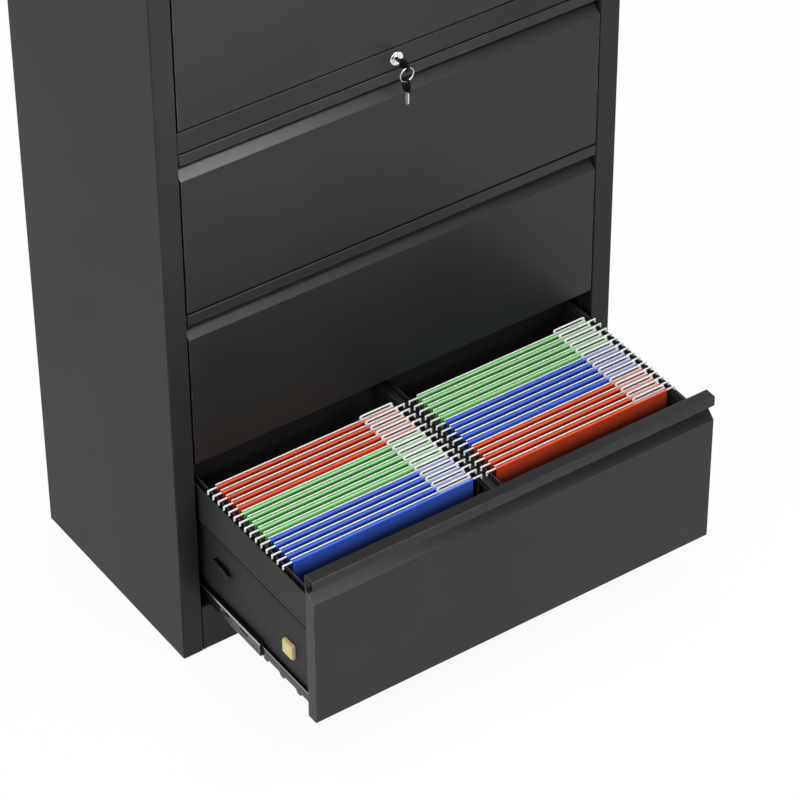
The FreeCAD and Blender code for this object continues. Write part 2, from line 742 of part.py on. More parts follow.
# ---------------------------------------------------------------- lock, keys and locking bar
def lock_housing():
    """Barrel in the lock rail, with its front flange and the nut behind the rail's face."""
    barrel = rod_along_y(housing_radius, 0, housing_length, z=lock_z)
    flange = rod_along_y(housing_flange_radius, -housing_flange, 0, z=lock_z)
    rim = [edge for edge in flange.Edges if edge.BoundBox.YMax < -housing_flange / 2]
    flange = flange.makeFillet(housing_flange / 2, rim[:1])
    corners = [(nut_radius * math.cos(math.radians(60 * k)),
                lock_z + nut_radius * math.sin(math.radians(60 * k))) for k in range(6)]
    nut = prism(corners, "y", case_sheet, case_sheet + nut_thickness)
    bore = rod_along_y(plug_radius + plug_clearance, -housing_flange, housing_length, z=lock_z)
    return joined(barrel, flange, nut).cut(bore)


def lock_plug():
    """Plug with its keyway, a tail behind it, and a crank whose pin drives the rod."""
    plug = rod_along_y(plug_radius, -housing_flange - plug_proud, housing_length, z=lock_z)
    way_y = -housing_flange - plug_proud
    slot = key_blade_width / 2 + keyway_play
    side = key_blade_thickness / 2 + keyway_play
    plug = plug.cut(box(-side, side, way_y, way_y + key_blade_length, lock_z - slot, lock_z + slot))
    tail = rod_along_y(tail_radius, housing_length, crank_y + crank_sheet, z=lock_z)
    pin_x, pin_z = crank_pin()
    pin = rod_along_y(crank_pin_radius, rod_y - track_gap, crank_y + crank_sheet, pin_x, pin_z)
    reach = crank_radius + crank_half_width
    arm = box(-crank_half_width, crank_half_width, crank_y, crank_y + crank_sheet,
              lock_z - crank_half_width, lock_z + reach)
    arm.rotate(Vector(0, 0, lock_z), Vector(0, 1, 0), -45)
    return joined(plug, tail, arm, pin)


def crank_pin():
    """The crank's pin at rest, up and to the left of the lock's axis."""
    return (-lock_travel / 2, lock_z + lock_travel / 2)


def key_head():
    """Head of the key, standing on its blade in the plane x = 0, with its hole at the origin."""
    half_head = key_head_width / 2
    head = box(-key_thickness / 2, key_thickness / 2, -half_head, half_head,
               -key_head_length + key_hole_inset, key_hole_inset)
    corners = [edge for edge in head.Edges if edge.BoundBox.XLength > key_thickness / 2]
    head = head.makeFillet(key_head_round, corners)
    hole = Part.makeCylinder(key_hole_radius, key_thickness, Vector(-key_thickness / 2, 0, 0),
                             Vector(1, 0, 0))
    return head.cut(hole)


def key_blade(length):
    """Blade below the head, pointed at its tip, in the same frame as the head."""
    top = key_hole_inset - key_head_length
    side = key_blade_width / 2
    tip = top - length
    section = [(-side, top), (-side, tip + side), (0, tip), (side, tip + side), (side, top)]
    return prism(section, "x", -key_blade_thickness / 2, key_blade_thickness / 2)


def lock_key():
    """The key in the lock lies along y, its head in front of the rail."""
    blade_tip = -housing_flange - plug_proud + key_blade_length
    head_back = key_hole_y + key_head_length - key_hole_inset
    pieces = [key_head(), key_blade(blade_tip - head_back)]
    for piece in pieces:
        piece.rotate(Vector(0, 0, 0), Vector(1, 0, 0), 90)
        piece.translate(Vector(0, key_hole_y, lock_z))
    return pieces


def lock_rod():
    """Flat rod behind the rail, from the crank to its end plate with the sloping slot."""
    low = lock_z + rod_rise
    strip = box(-bar_x, rod_past_axis, rod_y, rod_y + rod_sheet, low, low + rod_height)
    pin_x, pin_z = crank_pin()
    reach = crank_pin_radius + rod_slot_play
    slot = box(pin_x - reach, pin_x + reach, rod_y, rod_y + rod_sheet, pin_z - reach,
               lock_z + crank_radius + reach)
    plate = box(-bar_x - lock_travel - 2 * pin_radius, -bar_x + 2 * pin_radius, rod_y,
                rod_y + rod_sheet, lock_z - plate_low, lock_z + plate_high)
    return joined(strip.cut(slot), plate).cut(sloping_slot())


def sloping_slot():
    """Slot that lifts the bar's pin as the rod moves to the right, rising to the left at 45 degrees."""
    reach = pin_radius + lock_play
    rest = (-bar_x, lock_z - pin_drop)
    raised = (rest[0] - lock_travel, rest[1] + lock_travel)
    side = reach / math.sqrt(2)
    edges = prism([(rest[0] - side, rest[1] - side), (rest[0] + side, rest[1] + side),
                   (raised[0] + side, raised[1] + side), (raised[0] - side, raised[1] - side)],
                  "y", rod_y, rod_y + rod_sheet)
    ends = [rod_along_y(reach, rod_y, rod_y + rod_sheet, x, z) for x, z in (rest, raised)]
    return joined(edges, *ends)


def lock_bar():
    """Upright bar behind the left front upright, with a lug in front of each drawer's bumper."""
    lug_tops = [bottom + bumper_bottom - lug_below_bumper for bottom in front_bottoms.values()]
    low = min(lug_tops) - lug_height - bar_past_end
    high = max(lug_tops) + bar_past_end
    bar = box(-bar_x - bar_width / 2, -bar_x + bar_width / 2, bar_y, bar_y + lock_bar_sheet, low, high)
    lugs = []
    for top in lug_tops:
        arm = box(-bar_x, -lug_inner_x, bar_y, bar_y + lock_bar_sheet, top - lug_height, top)
        toe = box(-lug_inner_x - lock_bar_sheet, -lug_inner_x, bar_y, bumper_front - lug_end_play,
                  top - lug_height, top)
        lugs += [arm, toe]
    pin = rod_along_y(pin_radius, bar_y, rod_y + rod_sheet, -bar_x, lock_z - pin_drop)
    return joined(bar, pin, *lugs)


# ---------------------------------------------------------------- the cabinet
def save(name, shapes, y=0.0, z=0.0):
    """Write one sub-part, moved from its own frame to the cabinet's."""
    pieces = shapes if isinstance(shapes, list) else [shapes]
    solids = [solid for piece in pieces for solid in piece.Solids]
    group = Part.makeCompound(solids) if len(solids) > 1 else solids[0]
    moved(group, y=y - origin_y, z=z).exportStep(os.path.join("parts", name + ".step"))


def save_case():
    left = with_screw_holes(side_panel())
    save("side_panel_left", left)
    save("side_panel_right", mirrored(left))
    save("back_panel", with_screw_holes(back_panel()))
    save("top_panel", top_panel())
    save("base_pan", base_pan())
    save("plinth", plinth())
    save("lock_rail", lock_rail())
    save("uprights", uprights())
    save("levelling_feet", levelling_feet())
    save("counterweight", counterweight())
    save("case_screws", case_screws())
    outers = both_sides(slide_outer())
    save("slide_outers", [moved(member, z=z) for z in front_bottoms.values() for member in outers])


def save_drawer(number):
    shift = -drawer_open[number]
    z = front_bottoms[number]
    pieces = {"drawer_front": drawer_front(), "front_liner": front_liner(),
              "drawer_sides": both_sides(drawer_side()), "drawer_back": drawer_back(),
              "drawer_bottom": drawer_bottom(),
              "file_rails": both_sides(side_file_rail()) + [centre_file_rail()],
              "slide_inners": both_sides(slide_inner()), "bumpers": both_sides(bumper())}
    for name, shape in pieces.items():
        save(f"{name}_{number}", shape, shift, z)
    mids = both_sides(slide_mid()) + both_sides(slide_stop())
    save(f"slide_mids_{number}", mids, shift * mid_share, z)


def save_lock():
    save("lock_housing", lock_housing())
    save("lock_plug", lock_plug())
    save("lock_key", lock_key())
    save("lock_rod", lock_rod())
    save("lock_bar", lock_bar())


def save_files():
    shift = -drawer_open[4]
    z = front_bottoms[4]
    save("folders_red", folders((0, 2)), shift, z)
    save("folders_green", folders((1, 0)), shift, z)
    save("folders_blue", folders((2, 1)), shift, z)
    save("file_bars", file_bars(), shift, z)
    save("file_tabs", file_tabs(), shift, z)


os.makedirs("parts", exist_ok=True)
save_case()
for drawer_number in front_bottoms:
    save_drawer(drawer_number)
save_lock()
save_files()
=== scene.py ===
"""Visual model of the four-drawer lateral filing cabinet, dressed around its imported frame."""
import bmesh
import bpy
import json
import math
from mathutils import Matrix, Vector

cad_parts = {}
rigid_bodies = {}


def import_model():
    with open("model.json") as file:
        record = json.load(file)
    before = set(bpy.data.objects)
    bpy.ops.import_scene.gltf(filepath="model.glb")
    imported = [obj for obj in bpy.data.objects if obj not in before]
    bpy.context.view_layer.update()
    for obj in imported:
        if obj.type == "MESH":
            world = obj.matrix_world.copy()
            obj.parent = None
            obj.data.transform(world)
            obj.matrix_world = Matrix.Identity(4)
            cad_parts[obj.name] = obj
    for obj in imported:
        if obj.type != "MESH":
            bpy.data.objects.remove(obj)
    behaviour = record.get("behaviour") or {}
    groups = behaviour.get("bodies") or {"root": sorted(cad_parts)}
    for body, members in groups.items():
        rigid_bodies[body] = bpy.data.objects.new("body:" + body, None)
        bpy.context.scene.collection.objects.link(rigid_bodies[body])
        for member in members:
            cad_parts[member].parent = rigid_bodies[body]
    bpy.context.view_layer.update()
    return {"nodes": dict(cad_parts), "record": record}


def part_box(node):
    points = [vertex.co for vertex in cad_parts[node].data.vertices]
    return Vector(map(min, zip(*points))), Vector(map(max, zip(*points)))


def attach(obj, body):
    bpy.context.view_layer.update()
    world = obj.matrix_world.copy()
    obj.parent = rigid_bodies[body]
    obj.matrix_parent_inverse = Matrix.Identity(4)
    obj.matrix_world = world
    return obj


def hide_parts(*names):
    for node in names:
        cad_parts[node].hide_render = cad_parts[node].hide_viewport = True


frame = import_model()
MM = 0.001
scene = bpy.context.scene
scene.view_settings.view_transform = "Standard"


# ---------------------------------------------------------------- camera, lamps and studio
def camera():
    """Camera high in front of the cabinet, to the left."""
    data = bpy.data.cameras.new("camera")
    data.lens = 171.956
    data.sensor_width = 36.0
    data.clip_end = 60.0
    obj = bpy.data.objects.new("camera", data)
    turn, tilt, roll = (math.radians(a) for a in (34.4062, 39.5804, -0.3951))
    ahead = Vector((math.sin(turn) * math.cos(tilt), math.cos(turn) * math.cos(tilt), -math.sin(tilt)))
    level = Vector((math.cos(turn), -math.sin(turn), 0.0))
    up = level.cross(ahead)
    right = level * math.cos(roll) + up * math.sin(roll)
    top = up * math.cos(roll) - level * math.sin(roll)
    axes = Matrix((right, top, -ahead)).transposed().to_4x4()
    obj.matrix_world = Matrix.Translation((-2.84160, -4.20428, 4.52706)) @ axes
    scene.collection.objects.link(obj)
    scene.camera = obj


def area_lamp(name, place, size, power, aim=(0.0, 0.0, 0.6)):
    data = bpy.data.lights.new(name, "AREA")
    data.shape = "RECTANGLE"
    data.size, data.size_y = size
    data.energy = power
    obj = bpy.data.objects.new(name, data)
    obj.location = place
    obj.rotation_euler = (Vector(aim) - Vector(place)).to_track_quat("-Z", "Y").to_euler()
    obj.visible_camera = False
    scene.collection.objects.link(obj)


def seen_ray(nodes, links):
    """1 for rays that show a surface to the eye: straight, in a reflection or through glass."""
    path = nodes.new("ShaderNodeLightPath")
    total = path.outputs["Is Camera Ray"]
    for name in ("Is Glossy Ray", "Is Transmission Ray"):
        either = nodes.new("ShaderNodeMath")
        either.operation = "MAXIMUM"
        links.new(total, either.inputs[0])
        links.new(path.outputs[name], either.inputs[1])
        total = either.outputs[0]
    return total


def studio_floor(glow_share=0.95):
    """Pale floor that reads as the white of the studio and still takes the cabinet's shadow."""
    m = bpy.data.materials.new("studio floor")
    m.use_nodes = True
    nodes, links = m.node_tree.nodes, m.node_tree.links
    matt = nodes["Principled BSDF"]
    matt.inputs["Base Color"].default_value = (0.86, 0.86, 0.86, 1)
    matt.inputs["Roughness"].default_value = 0.9
    glow = nodes.new("ShaderNodeEmission")
    share = nodes.new("ShaderNodeMath")
    share.operation = "MULTIPLY"
    share.inputs[1].default_value = glow_share
    links.new(seen_ray(nodes, links), share.inputs[0])
    mix = nodes.new("ShaderNodeMixShader")
    links.new(share.outputs[0], mix.inputs[0])
    links.new(matt.outputs[0], mix.inputs[1])
    links.new(glow.outputs[0], mix.inputs[2])
    links.new(mix.outputs[0], nodes["Material Output"].inputs["Surface"])
    mesh = bpy.data.meshes.new("studio floor")
    reach = 30.0
    mesh.from_pydata([(-reach, -reach, 0), (reach, -reach, 0), (reach, reach, 0), (-reach, reach, 0)],
                     [], [(0, 1, 2, 3)])
    mesh.materials.append(m)
    obj = bpy.data.objects.new("studio floor", mesh)
    scene.collection.objects.link(obj)


def studio_world(light=0.36, zenith=0.35):
    """Even light from all round; the backdrop shows white and darkens towards the ceiling."""
    world = bpy.data.worlds.new("studio")
    scene.world = world
    world.use_nodes = True
    nodes, links = world.node_tree.nodes, world.node_tree.links
    background = nodes["Background"]
    background.inputs["Color"].default_value = (1, 1, 1, 1)
    way = nodes.new("ShaderNodeTexCoord")
    parts = nodes.new("ShaderNodeSeparateXYZ")
    links.new(way.outputs["Generated"], parts.inputs[0])
    backdrop = nodes.new("ShaderNodeMapRange")
    backdrop.interpolation_type = "SMOOTHSTEP"
    for key, value in (("From Min", 0.25), ("From Max", 0.6), ("To Min", 1.0), ("To Max", zenith)):
        backdrop.inputs[key].default_value = value
    links.new(parts.outputs["Z"], backdrop.inputs["Value"])
    strength = nodes.new("ShaderNodeMix")
    strength.inputs[2].default_value = light
    links.new(seen_ray(nodes, links), strength.inputs[0])
    links.new(backdrop.outputs["Result"], strength.inputs[3])
    links.new(strength.outputs[0], background.inputs["Strength"])


# ---------------------------------------------------------------- shared shader effects
class Effect:
    """A shader node group: wiring helper for its nodes, links and sockets."""

    def __init__(self, name, inputs, outputs):
        self.tree = bpy.data.node_groups.new(name, "ShaderNodeTree")
        for label, value in inputs.items():
            kind = "NodeSocketColor" if isinstance(value, tuple) else "NodeSocketFloat"
            socket = self.tree.interface.new_socket(label, in_out="INPUT", socket_type=kind)
            socket.default_value = value
        for label, kind in outputs.items():
            self.tree.interface.new_socket(label, in_out="OUTPUT", socket_type=kind)
        self.entry = self.tree.nodes.new("NodeGroupInput")
        self.exit = self.tree.nodes.new("NodeGroupOutput")

    def node(self, kind, settings=None, **values):
        made = self.tree.nodes.new(kind)
        for key, value in (settings or {}).items():
            setattr(made, key, value)
        for key, value in values.items():
            self.feed(made, key.replace("_", " "), value)
        return made

    def feed(self, node, key, value):
        socket = node.inputs[int(key[1:])] if key[0] == "n" and key[1:].isdigit() else node.inputs[key]
        if isinstance(value, str):
            self.tree.links.new(self.entry.outputs[value], socket)
        elif isinstance(value, bpy.types.NodeSocket):
            self.tree.links.new(value, socket)
        else:
            socket.default_value = value

    def put(self, label, socket):
        self.tree.links.new(socket, self.exit.inputs[label])


def place_on_object(effect, stretch=(1.0, 1.0, 1.0)):
    """Object coordinates, stretched along an axis for a pattern that runs along the piece."""
    where = effect.node("ShaderNodeTexCoord")
    mapped = effect.node("ShaderNodeMapping")
    mapped.inputs["Scale"].default_value = stretch
    effect.tree.links.new(where.outputs["Object"], mapped.inputs["Vector"])
    return mapped.outputs["Vector"]


def coat_texture():
    """Powder coat: orange peel for the bump, mottled gloss, and a slow drift of tone."""
    e = Effect("powder coat", {"Colour": (0.02, 0.02, 0.02, 1.0), "Tone Spread": 0.25, "Gloss": 0.38,
                               "Gloss Spread": 0.08, "Peel Size": 420.0},
               {"Color": "NodeSocketColor", "Roughness": "NodeSocketFloat", "Height": "NodeSocketFloat"})
    spot = place_on_object(e)
    peel = e.node("ShaderNodeTexNoise", Vector=spot, Scale="Peel Size", Detail=2.0, Roughness=0.6)
    drift = e.node("ShaderNodeTexNoise", Vector=spot, Scale=3.5, Detail=3.0)
    speck = e.node("ShaderNodeTexNoise", Vector=spot, Scale=1400.0, Detail=0.0)
    low = e.node("ShaderNodeMath", {"operation": "SUBTRACT"}, n0=1.0, n1="Tone Spread")
    high = e.node("ShaderNodeMath", {"operation": "ADD"}, n0=1.0, n1="Tone Spread")
    both = e.node("ShaderNodeMath", {"operation": "MULTIPLY_ADD"}, n0=speck.outputs["Fac"], n1=0.35,
                  n2=-0.175)
    blend = e.node("ShaderNodeMath", {"operation": "ADD"}, n0=drift.outputs["Fac"], n1=both.outputs[0])
    tone = e.node("ShaderNodeMapRange", Value=blend.outputs[0], From_Min=0.25, From_Max=0.75,
                  To_Min=low.outputs[0], To_Max=high.outputs[0])
    shade = e.node("ShaderNodeVectorMath", {"operation": "SCALE"}, n0="Colour", Scale=tone.outputs[0])
    e.put("Color", shade.outputs[0])
    gloss = e.node("ShaderNodeMath", {"operation": "MULTIPLY_ADD"}, n0=peel.outputs["Fac"],
                   n1="Gloss Spread", n2="Gloss")
    e.put("Roughness", gloss.outputs[0])
    e.put("Height", peel.outputs["Fac"])
    return e.tree


def edge_wear_and_highlight():
    """Mask of rubbed folds and edges, lightened as wear and as painted highlight, broken up so that no edge
    is worn or lit evenly.
    """
    e = Effect("edge wear", {"Width": 0.0012, "Amount": 0.5, "Patch Size": 35.0},
               {"Mask": "NodeSocketFloat"})
    rounded = e.node("ShaderNodeBevel", {"samples": 4}, Radius="Width")
    surface = e.node("ShaderNodeNewGeometry")
    along = e.node("ShaderNodeVectorMath", {"operation": "DOT_PRODUCT"}, n0=rounded.outputs["Normal"],
                   n1=surface.outputs["Normal"])
    edge = e.node("ShaderNodeMapRange", Value=along.outputs["Value"], From_Min=0.99, From_Max=0.85,
                  To_Min=0.0, To_Max=1.0)
    patch = e.node("ShaderNodeTexNoise", Vector=place_on_object(e), Scale="Patch Size", Detail=4.0)
    rubbed_or_lit = e.node("ShaderNodeMapRange", Value=patch.outputs["Fac"], From_Min=0.42, From_Max=0.62)
    worn_or_lit = e.node("ShaderNodeMath", {"operation": "MULTIPLY"}, n0=edge.outputs[0], n1=rubbed_or_lit.outputs[0])
    scaled = e.node("ShaderNodeMath", {"operation": "MULTIPLY", "use_clamp": True}, n0=worn_or_lit.outputs[0],
                    n1="Amount")
    e.put("Mask", scaled.outputs[0])
    return e.tree


def painted_corner_highlights():
    """Mask of painted highlights: the rounded corners along a rolled section and the borders beside its
    sharp edges.
    """
    e = Effect("painted corner highlights", {"Width": 0.0012}, {"Mask": "NodeSocketFloat"})
    where = e.node("ShaderNodeTexCoord")
    parts = e.node("ShaderNodeSeparateXYZ", Vector=where.outputs["Normal"])
    both = e.node("ShaderNodeMath", {"operation": "MULTIPLY"}, n0=parts.outputs["X"], n1=parts.outputs["Z"])
    size = e.node("ShaderNodeMath", {"operation": "ABSOLUTE"}, n0=both.outputs[0])
    bend = e.node("ShaderNodeMapRange", Value=size.outputs[0], From_Min=0.2, From_Max=0.42)
    rounded = e.node("ShaderNodeBevel", {"samples": 4}, Radius="Width")
    surface = e.node("ShaderNodeNewGeometry")
    along = e.node("ShaderNodeVectorMath", {"operation": "DOT_PRODUCT"}, n0=rounded.outputs["Normal"],
                   n1=surface.outputs["Normal"])
    edge = e.node("ShaderNodeMapRange", Value=along.outputs["Value"], From_Min=0.995, From_Max=0.9,
                  To_Min=0.0, To_Max=0.6)
    mask = e.node("ShaderNodeMath", {"operation": "MAXIMUM"}, n0=bend.outputs[0], n1=edge.outputs[0])
    e.put("Mask", mask.outputs[0])
    return e.tree


def painted_recess_shade(own):
    """Painted shade: colour darkened inside folds, slots and gaps by ambient occlusion; with own, only
    those of the piece itself.
    """
    e = Effect("painted recess shade", {"Colour": (0.5, 0.5, 0.5, 1.0), "Reach": 0.02, "Depth": 0.7},
               {"Color": "NodeSocketColor"})
    opening = e.node("ShaderNodeAmbientOcclusion", {"samples": 6, "only_local": own},
                     Distance="Reach")
    deepest = e.node("ShaderNodeMath", {"operation": "SUBTRACT"}, n0=1.0, n1="Depth")
    share = e.node("ShaderNodeMapRange", Value=opening.outputs["AO"], From_Min=0.15, From_Max=0.75,
                   To_Min=deepest.outputs[0], To_Max=1.0)
    shade = e.node("ShaderNodeVectorMath", {"operation": "SCALE"}, n0="Colour", Scale=share.outputs[0])
    e.put("Color", shade.outputs[0])
    return e.tree


def painted_depth_shade():
    """Painted shade: colour that darkens downwards from a height, as down into a full drawer."""
    e = Effect("painted depth shade", {"Colour": (0.5, 0.5, 0.5, 1.0), "Top": 0.4, "Clear": 0.006, "Fade": 0.034},
               {"Color": "NodeSocketColor"})
    where = e.node("ShaderNodeTexCoord")
    parts = e.node("ShaderNodeSeparateXYZ", Vector=where.outputs["Object"])
    down = e.node("ShaderNodeMath", {"operation": "SUBTRACT"}, n0="Top", n1=parts.outputs["Z"])
    share = e.node("ShaderNodeMapRange", Value=down.outputs[0], From_Min="Clear", From_Max="Fade",
                   To_Min=1.0, To_Max=0.18)
    shade = e.node("ShaderNodeVectorMath", {"operation": "SCALE"}, n0="Colour", Scale=share.outputs[0])
    e.put("Color", shade.outputs[0])
    return e.tree


def drawn_streaks():
    """Fine lines along the length of rolled or drawn metal, with faint clouds of plating."""
    e = Effect("drawn streaks", {"Colour": (0.5, 0.5, 0.5, 1.0), "Gloss": 0.25, "Gloss Spread": 0.2,
                                 "Line Size": 900.0},
               {"Color": "NodeSocketColor", "Roughness": "NodeSocketFloat", "Height": "NodeSocketFloat"})
    long_way = place_on_object(e, (1.0, 0.03, 1.0))
    line = e.node("ShaderNodeTexNoise", Vector=long_way, Scale="Line Size", Detail=2.0)
    cloud = e.node("ShaderNodeTexNoise", Vector=place_on_object(e), Scale=60.0, Detail=4.0)
    tone = e.node("ShaderNodeMapRange", Value=cloud.outputs["Fac"], From_Min=0.3, From_Max=0.7,
                  To_Min=0.8, To_Max=1.12)
    shade = e.node("ShaderNodeVectorMath", {"operation": "SCALE"}, n0="Colour", Scale=tone.outputs[0])
    e.put("Color", shade.outputs[0])
    gloss = e.node("ShaderNodeMath", {"operation": "MULTIPLY_ADD"}, n0=line.outputs["Fac"],
                   n1="Gloss Spread", n2="Gloss")
    e.put("Roughness", gloss.outputs[0])
    e.put("Height", line.outputs["Fac"])
    return e.tree


def fibre_grain():
    """Pressed card: short fibres, a soft mottle and a slightly chalky surface."""
    e = Effect("fibre grain", {"Colour": (0.5, 0.5, 0.5, 1.0), "Mottle": 0.08, "Fibre Size": 500.0},
               {"Color": "NodeSocketColor", "Roughness": "NodeSocketFloat", "Height": "NodeSocketFloat"})
    fibre = e.node("ShaderNodeTexNoise", Vector=place_on_object(e, (0.25, 1.0, 1.0)),
                   Scale="Fibre Size", Detail=4.0, Roughness=0.7)
    mottle = e.node("ShaderNodeTexNoise", Vector=place_on_object(e), Scale=45.0, Detail=3.0)
    mixed = e.node("ShaderNodeMath", {"operation": "ADD"}, n0=fibre.outputs["Fac"],
                   n1=mottle.outputs["Fac"])
    low = e.node("ShaderNodeMath", {"operation": "SUBTRACT"}, n0=1.0, n1="Mottle")
    high = e.node("ShaderNodeMath", {"operation": "ADD"}, n0=1.0, n1="Mottle")
    tone = e.node("ShaderNodeMapRange", Value=mixed.outputs[0], From_Min=0.6, From_Max=1.4,
                  To_Min=low.outputs[0], To_Max=high.outputs[0])
    shade = e.node("ShaderNodeVectorMath", {"operation": "SCALE"}, n0="Colour", Scale=tone.outputs[0])
    e.put("Color", shade.outputs[0])
    gloss = e.node("ShaderNodeMath", {"operation": "MULTIPLY_ADD"}, n0=fibre.outputs["Fac"], n1=0.2,
                   n2=0.5)
    e.put("Roughness", gloss.outputs[0])
    e.put("Height", fibre.outputs["Fac"])
    return e.tree


# The edge mask stands for wear and for painted highlights along edges.
COAT, WEAR_AND_HIGHLIGHT, STREAKS, FIBRES = coat_texture(), edge_wear_and_highlight(), drawn_streaks(), fibre_grain()
# Painted highlights on the corners and edges of slide steel.
# Painted shade in folds, slots and gaps: one from all pieces near, one from the piece's own shape only.
CORNER_HIGHLIGHTS, PAINTED_RECESS_SHADE, OWN_PAINTED_RECESS_SHADE = painted_corner_highlights(), painted_recess_shade(False), painted_recess_shade(True)
# Painted shade that darkens the card downwards into the drawer.
PAINTED_DEPTH_SHADE = painted_depth_shade()


# ---------------------------------------------------------------- materials
class Finish:
    """A material with one Principled shader and its texture groups."""

    def __init__(self, name, **constants):
        self.material = bpy.data.materials.new(name)
        self.material.use_nodes = True
        self.nodes, self.links = self.material.node_tree.nodes, self.material.node_tree.links
        self.shader = self.nodes["Principled BSDF"]
        for key, value in constants.items():
            self.shader.inputs[key.replace("_", " ")].default_value = value

    def group(self, tree, **values):
        made = self.nodes.new("ShaderNodeGroup")
        made.node_tree = tree
        for key, value in values.items():
            made.inputs[key.replace("_", " ")].default_value = value
        return made

    def bump(self, height, distance, strength=1.0):
        made = self.nodes.new("ShaderNodeBump")
        made.inputs["Distance"].default_value = distance
        made.inputs["Strength"].default_value = strength
        self.links.new(height, made.inputs["Height"])
        self.links.new(made.outputs["Normal"], self.shader.inputs["Normal"])

    def with_painted_shade(self, colour, reach, depth, tree=None):
        """Send colour to the shader through the painted recess shade."""
        recess = self.group(tree or PAINTED_RECESS_SHADE, Reach=reach, Depth=depth)
        self.links.new(colour, recess.inputs["Colour"])
        self.links.new(recess.outputs["Color"], self.shader.inputs["Base Color"])

    def mixed(self, mask, first, second):
        """first where the mask is 0 and second where it is 1; second may be a plain colour or value."""
        made = self.nodes.new("ShaderNodeMix")
        made.data_type = "RGBA" if isinstance(second, tuple) else "FLOAT"
        base = 6 if isinstance(second, tuple) else 2
        self.links.new(mask, made.inputs[0])
        self.links.new(first, made.inputs[base])
        made.inputs[base + 1].default_value = second
        return made.outputs[2 if isinstance(second, tuple) else 0]


def powder_coat(name, colour, gloss=0.36, wear_and_highlight=0.35, shine=0.3, width=0.0012):
    f = Finish(name, Specular_IOR_Level=shine)
    coat = f.group(COAT, Colour=(*colour, 1.0), Gloss=gloss)
    worn_or_lit = f.group(WEAR_AND_HIGHLIGHT, Amount=wear_and_highlight, Width=width)
    # Lighter edge colour: wear, and a painted highlight along folds and edges.
    rubbed_or_lit = tuple(min(1.0, c * 5.0 + 0.08) for c in colour)
    # The coat's colour is darkened by painted shade in recesses within 20 mm.
    f.with_painted_shade(f.mixed(worn_or_lit.outputs["Mask"], coat.outputs["Color"], (*rubbed_or_lit, 1.0)), 0.02, 0.85)
    f.links.new(f.mixed(worn_or_lit.outputs["Mask"], coat.outputs["Roughness"], 0.22),
                f.shader.inputs["Roughness"])
    f.bump(coat.outputs["Height"], 0.00012, 0.35)
    return f.material


def plated_steel(name, colour, gloss=0.25, spread=0.2, wear_and_highlight=0.3):
    f = Finish(name, Metallic=1.0)
    metal = f.group(STREAKS, Colour=(*colour, 1.0), Gloss=gloss, Gloss_Spread=spread)
    worn_or_lit = f.group(WEAR_AND_HIGHLIGHT, Amount=wear_and_highlight, Width=0.0006)
    # Brighter edge colour: wear, and a painted highlight along the edges.
    bright = tuple(min(1.0, c * 1.6 + 0.1) for c in colour)
    f.links.new(f.mixed(worn_or_lit.outputs["Mask"], metal.outputs["Color"], (*bright, 1.0)),
                f.shader.inputs["Base Color"])
    f.links.new(metal.outputs["Roughness"], f.shader.inputs["Roughness"])
    f.bump(metal.outputs["Height"], 0.00004, 0.4)
    return f.material


def rolled_steel(name, colour, corner, gloss=0.2):
    """Dark plated section steel with painted highlights on its corners."""
    f = Finish(name, Metallic=1.0)
    metal = f.group(STREAKS, Colour=(*colour, 1.0), Gloss=gloss, Gloss_Spread=0.15)
    # The corner colour is a painted highlight on the rolled corners and beside the sharp edges.
    rolled = f.group(CORNER_HIGHLIGHTS)
    # The steel's colour is darkened by painted shade in recesses within 8 mm.
    f.with_painted_shade(f.mixed(rolled.outputs["Mask"], metal.outputs["Color"], (*corner, 1.0)), 0.008, 0.8)
    f.links.new(metal.outputs["Roughness"], f.shader.inputs["Roughness"])
    f.bump(metal.outputs["Height"], 0.00004, 0.4)
    return f.material


def card(name, colour):
    f = Finish(name, Specular_IOR_Level=0.35)
    board = f.group(FIBRES, Colour=(*colour, 1.0))
    # Painted shade: the card darkens from 6 mm to 34 mm below the files' tops, down to 18 %.
    fade = f.group(PAINTED_DEPTH_SHADE, Top=FILES_TOP)
    f.links.new(board.outputs["Color"], fade.inputs["Colour"])
    # The card's colour is darkened by painted shade in its own folds and gaps within 50 mm.
    f.with_painted_shade(fade.outputs["Color"], 0.05, 0.8, OWN_PAINTED_RECESS_SHADE)
    f.links.new(board.outputs["Roughness"], f.shader.inputs["Roughness"])
    f.bump(board.outputs["Height"], 0.00008, 0.4)
    return f.material


def moulding(name, colour, gloss=0.35, wear_and_highlight=0.2, **constants):
    """Moulded plastic with a faint grain and slightly paler edges, as wear and painted highlight."""
    f = Finish(name, **constants)
    skin = f.group(COAT, Colour=(*colour, 1.0), Gloss=gloss, Tone_Spread=0.05, Peel_Size=900.0)
    worn_or_lit = f.group(WEAR_AND_HIGHLIGHT, Amount=wear_and_highlight, Width=0.0008)
    pale = tuple(min(1.0, c * 1.25 + 0.03) for c in colour)
    f.links.new(f.mixed(worn_or_lit.outputs["Mask"], skin.outputs["Color"], (*pale, 1.0)),
                f.shader.inputs["Base Color"])
    f.links.new(skin.outputs["Roughness"], f.shader.inputs["Roughness"])
    f.bump(skin.outputs["Height"], 0.00005, 0.3)
    return f.material


def clear_film(name, colour, gloss, cover):
    """Thin clear plastic that veils the card behind it."""
    f = Finish(name, Alpha=cover, Specular_IOR_Level=0.4)
    skin = f.group(COAT, Colour=(*colour, 1.0), Gloss=gloss, Tone_Spread=0.03, Peel_Size=600.0)
    f.links.new(skin.outputs["Color"], f.shader.inputs["Base Color"])
    f.links.new(skin.outputs["Roughness"], f.shader.inputs["Roughness"])
    f.bump(skin.outputs["Height"], 0.00004, 0.3)
    return f.material


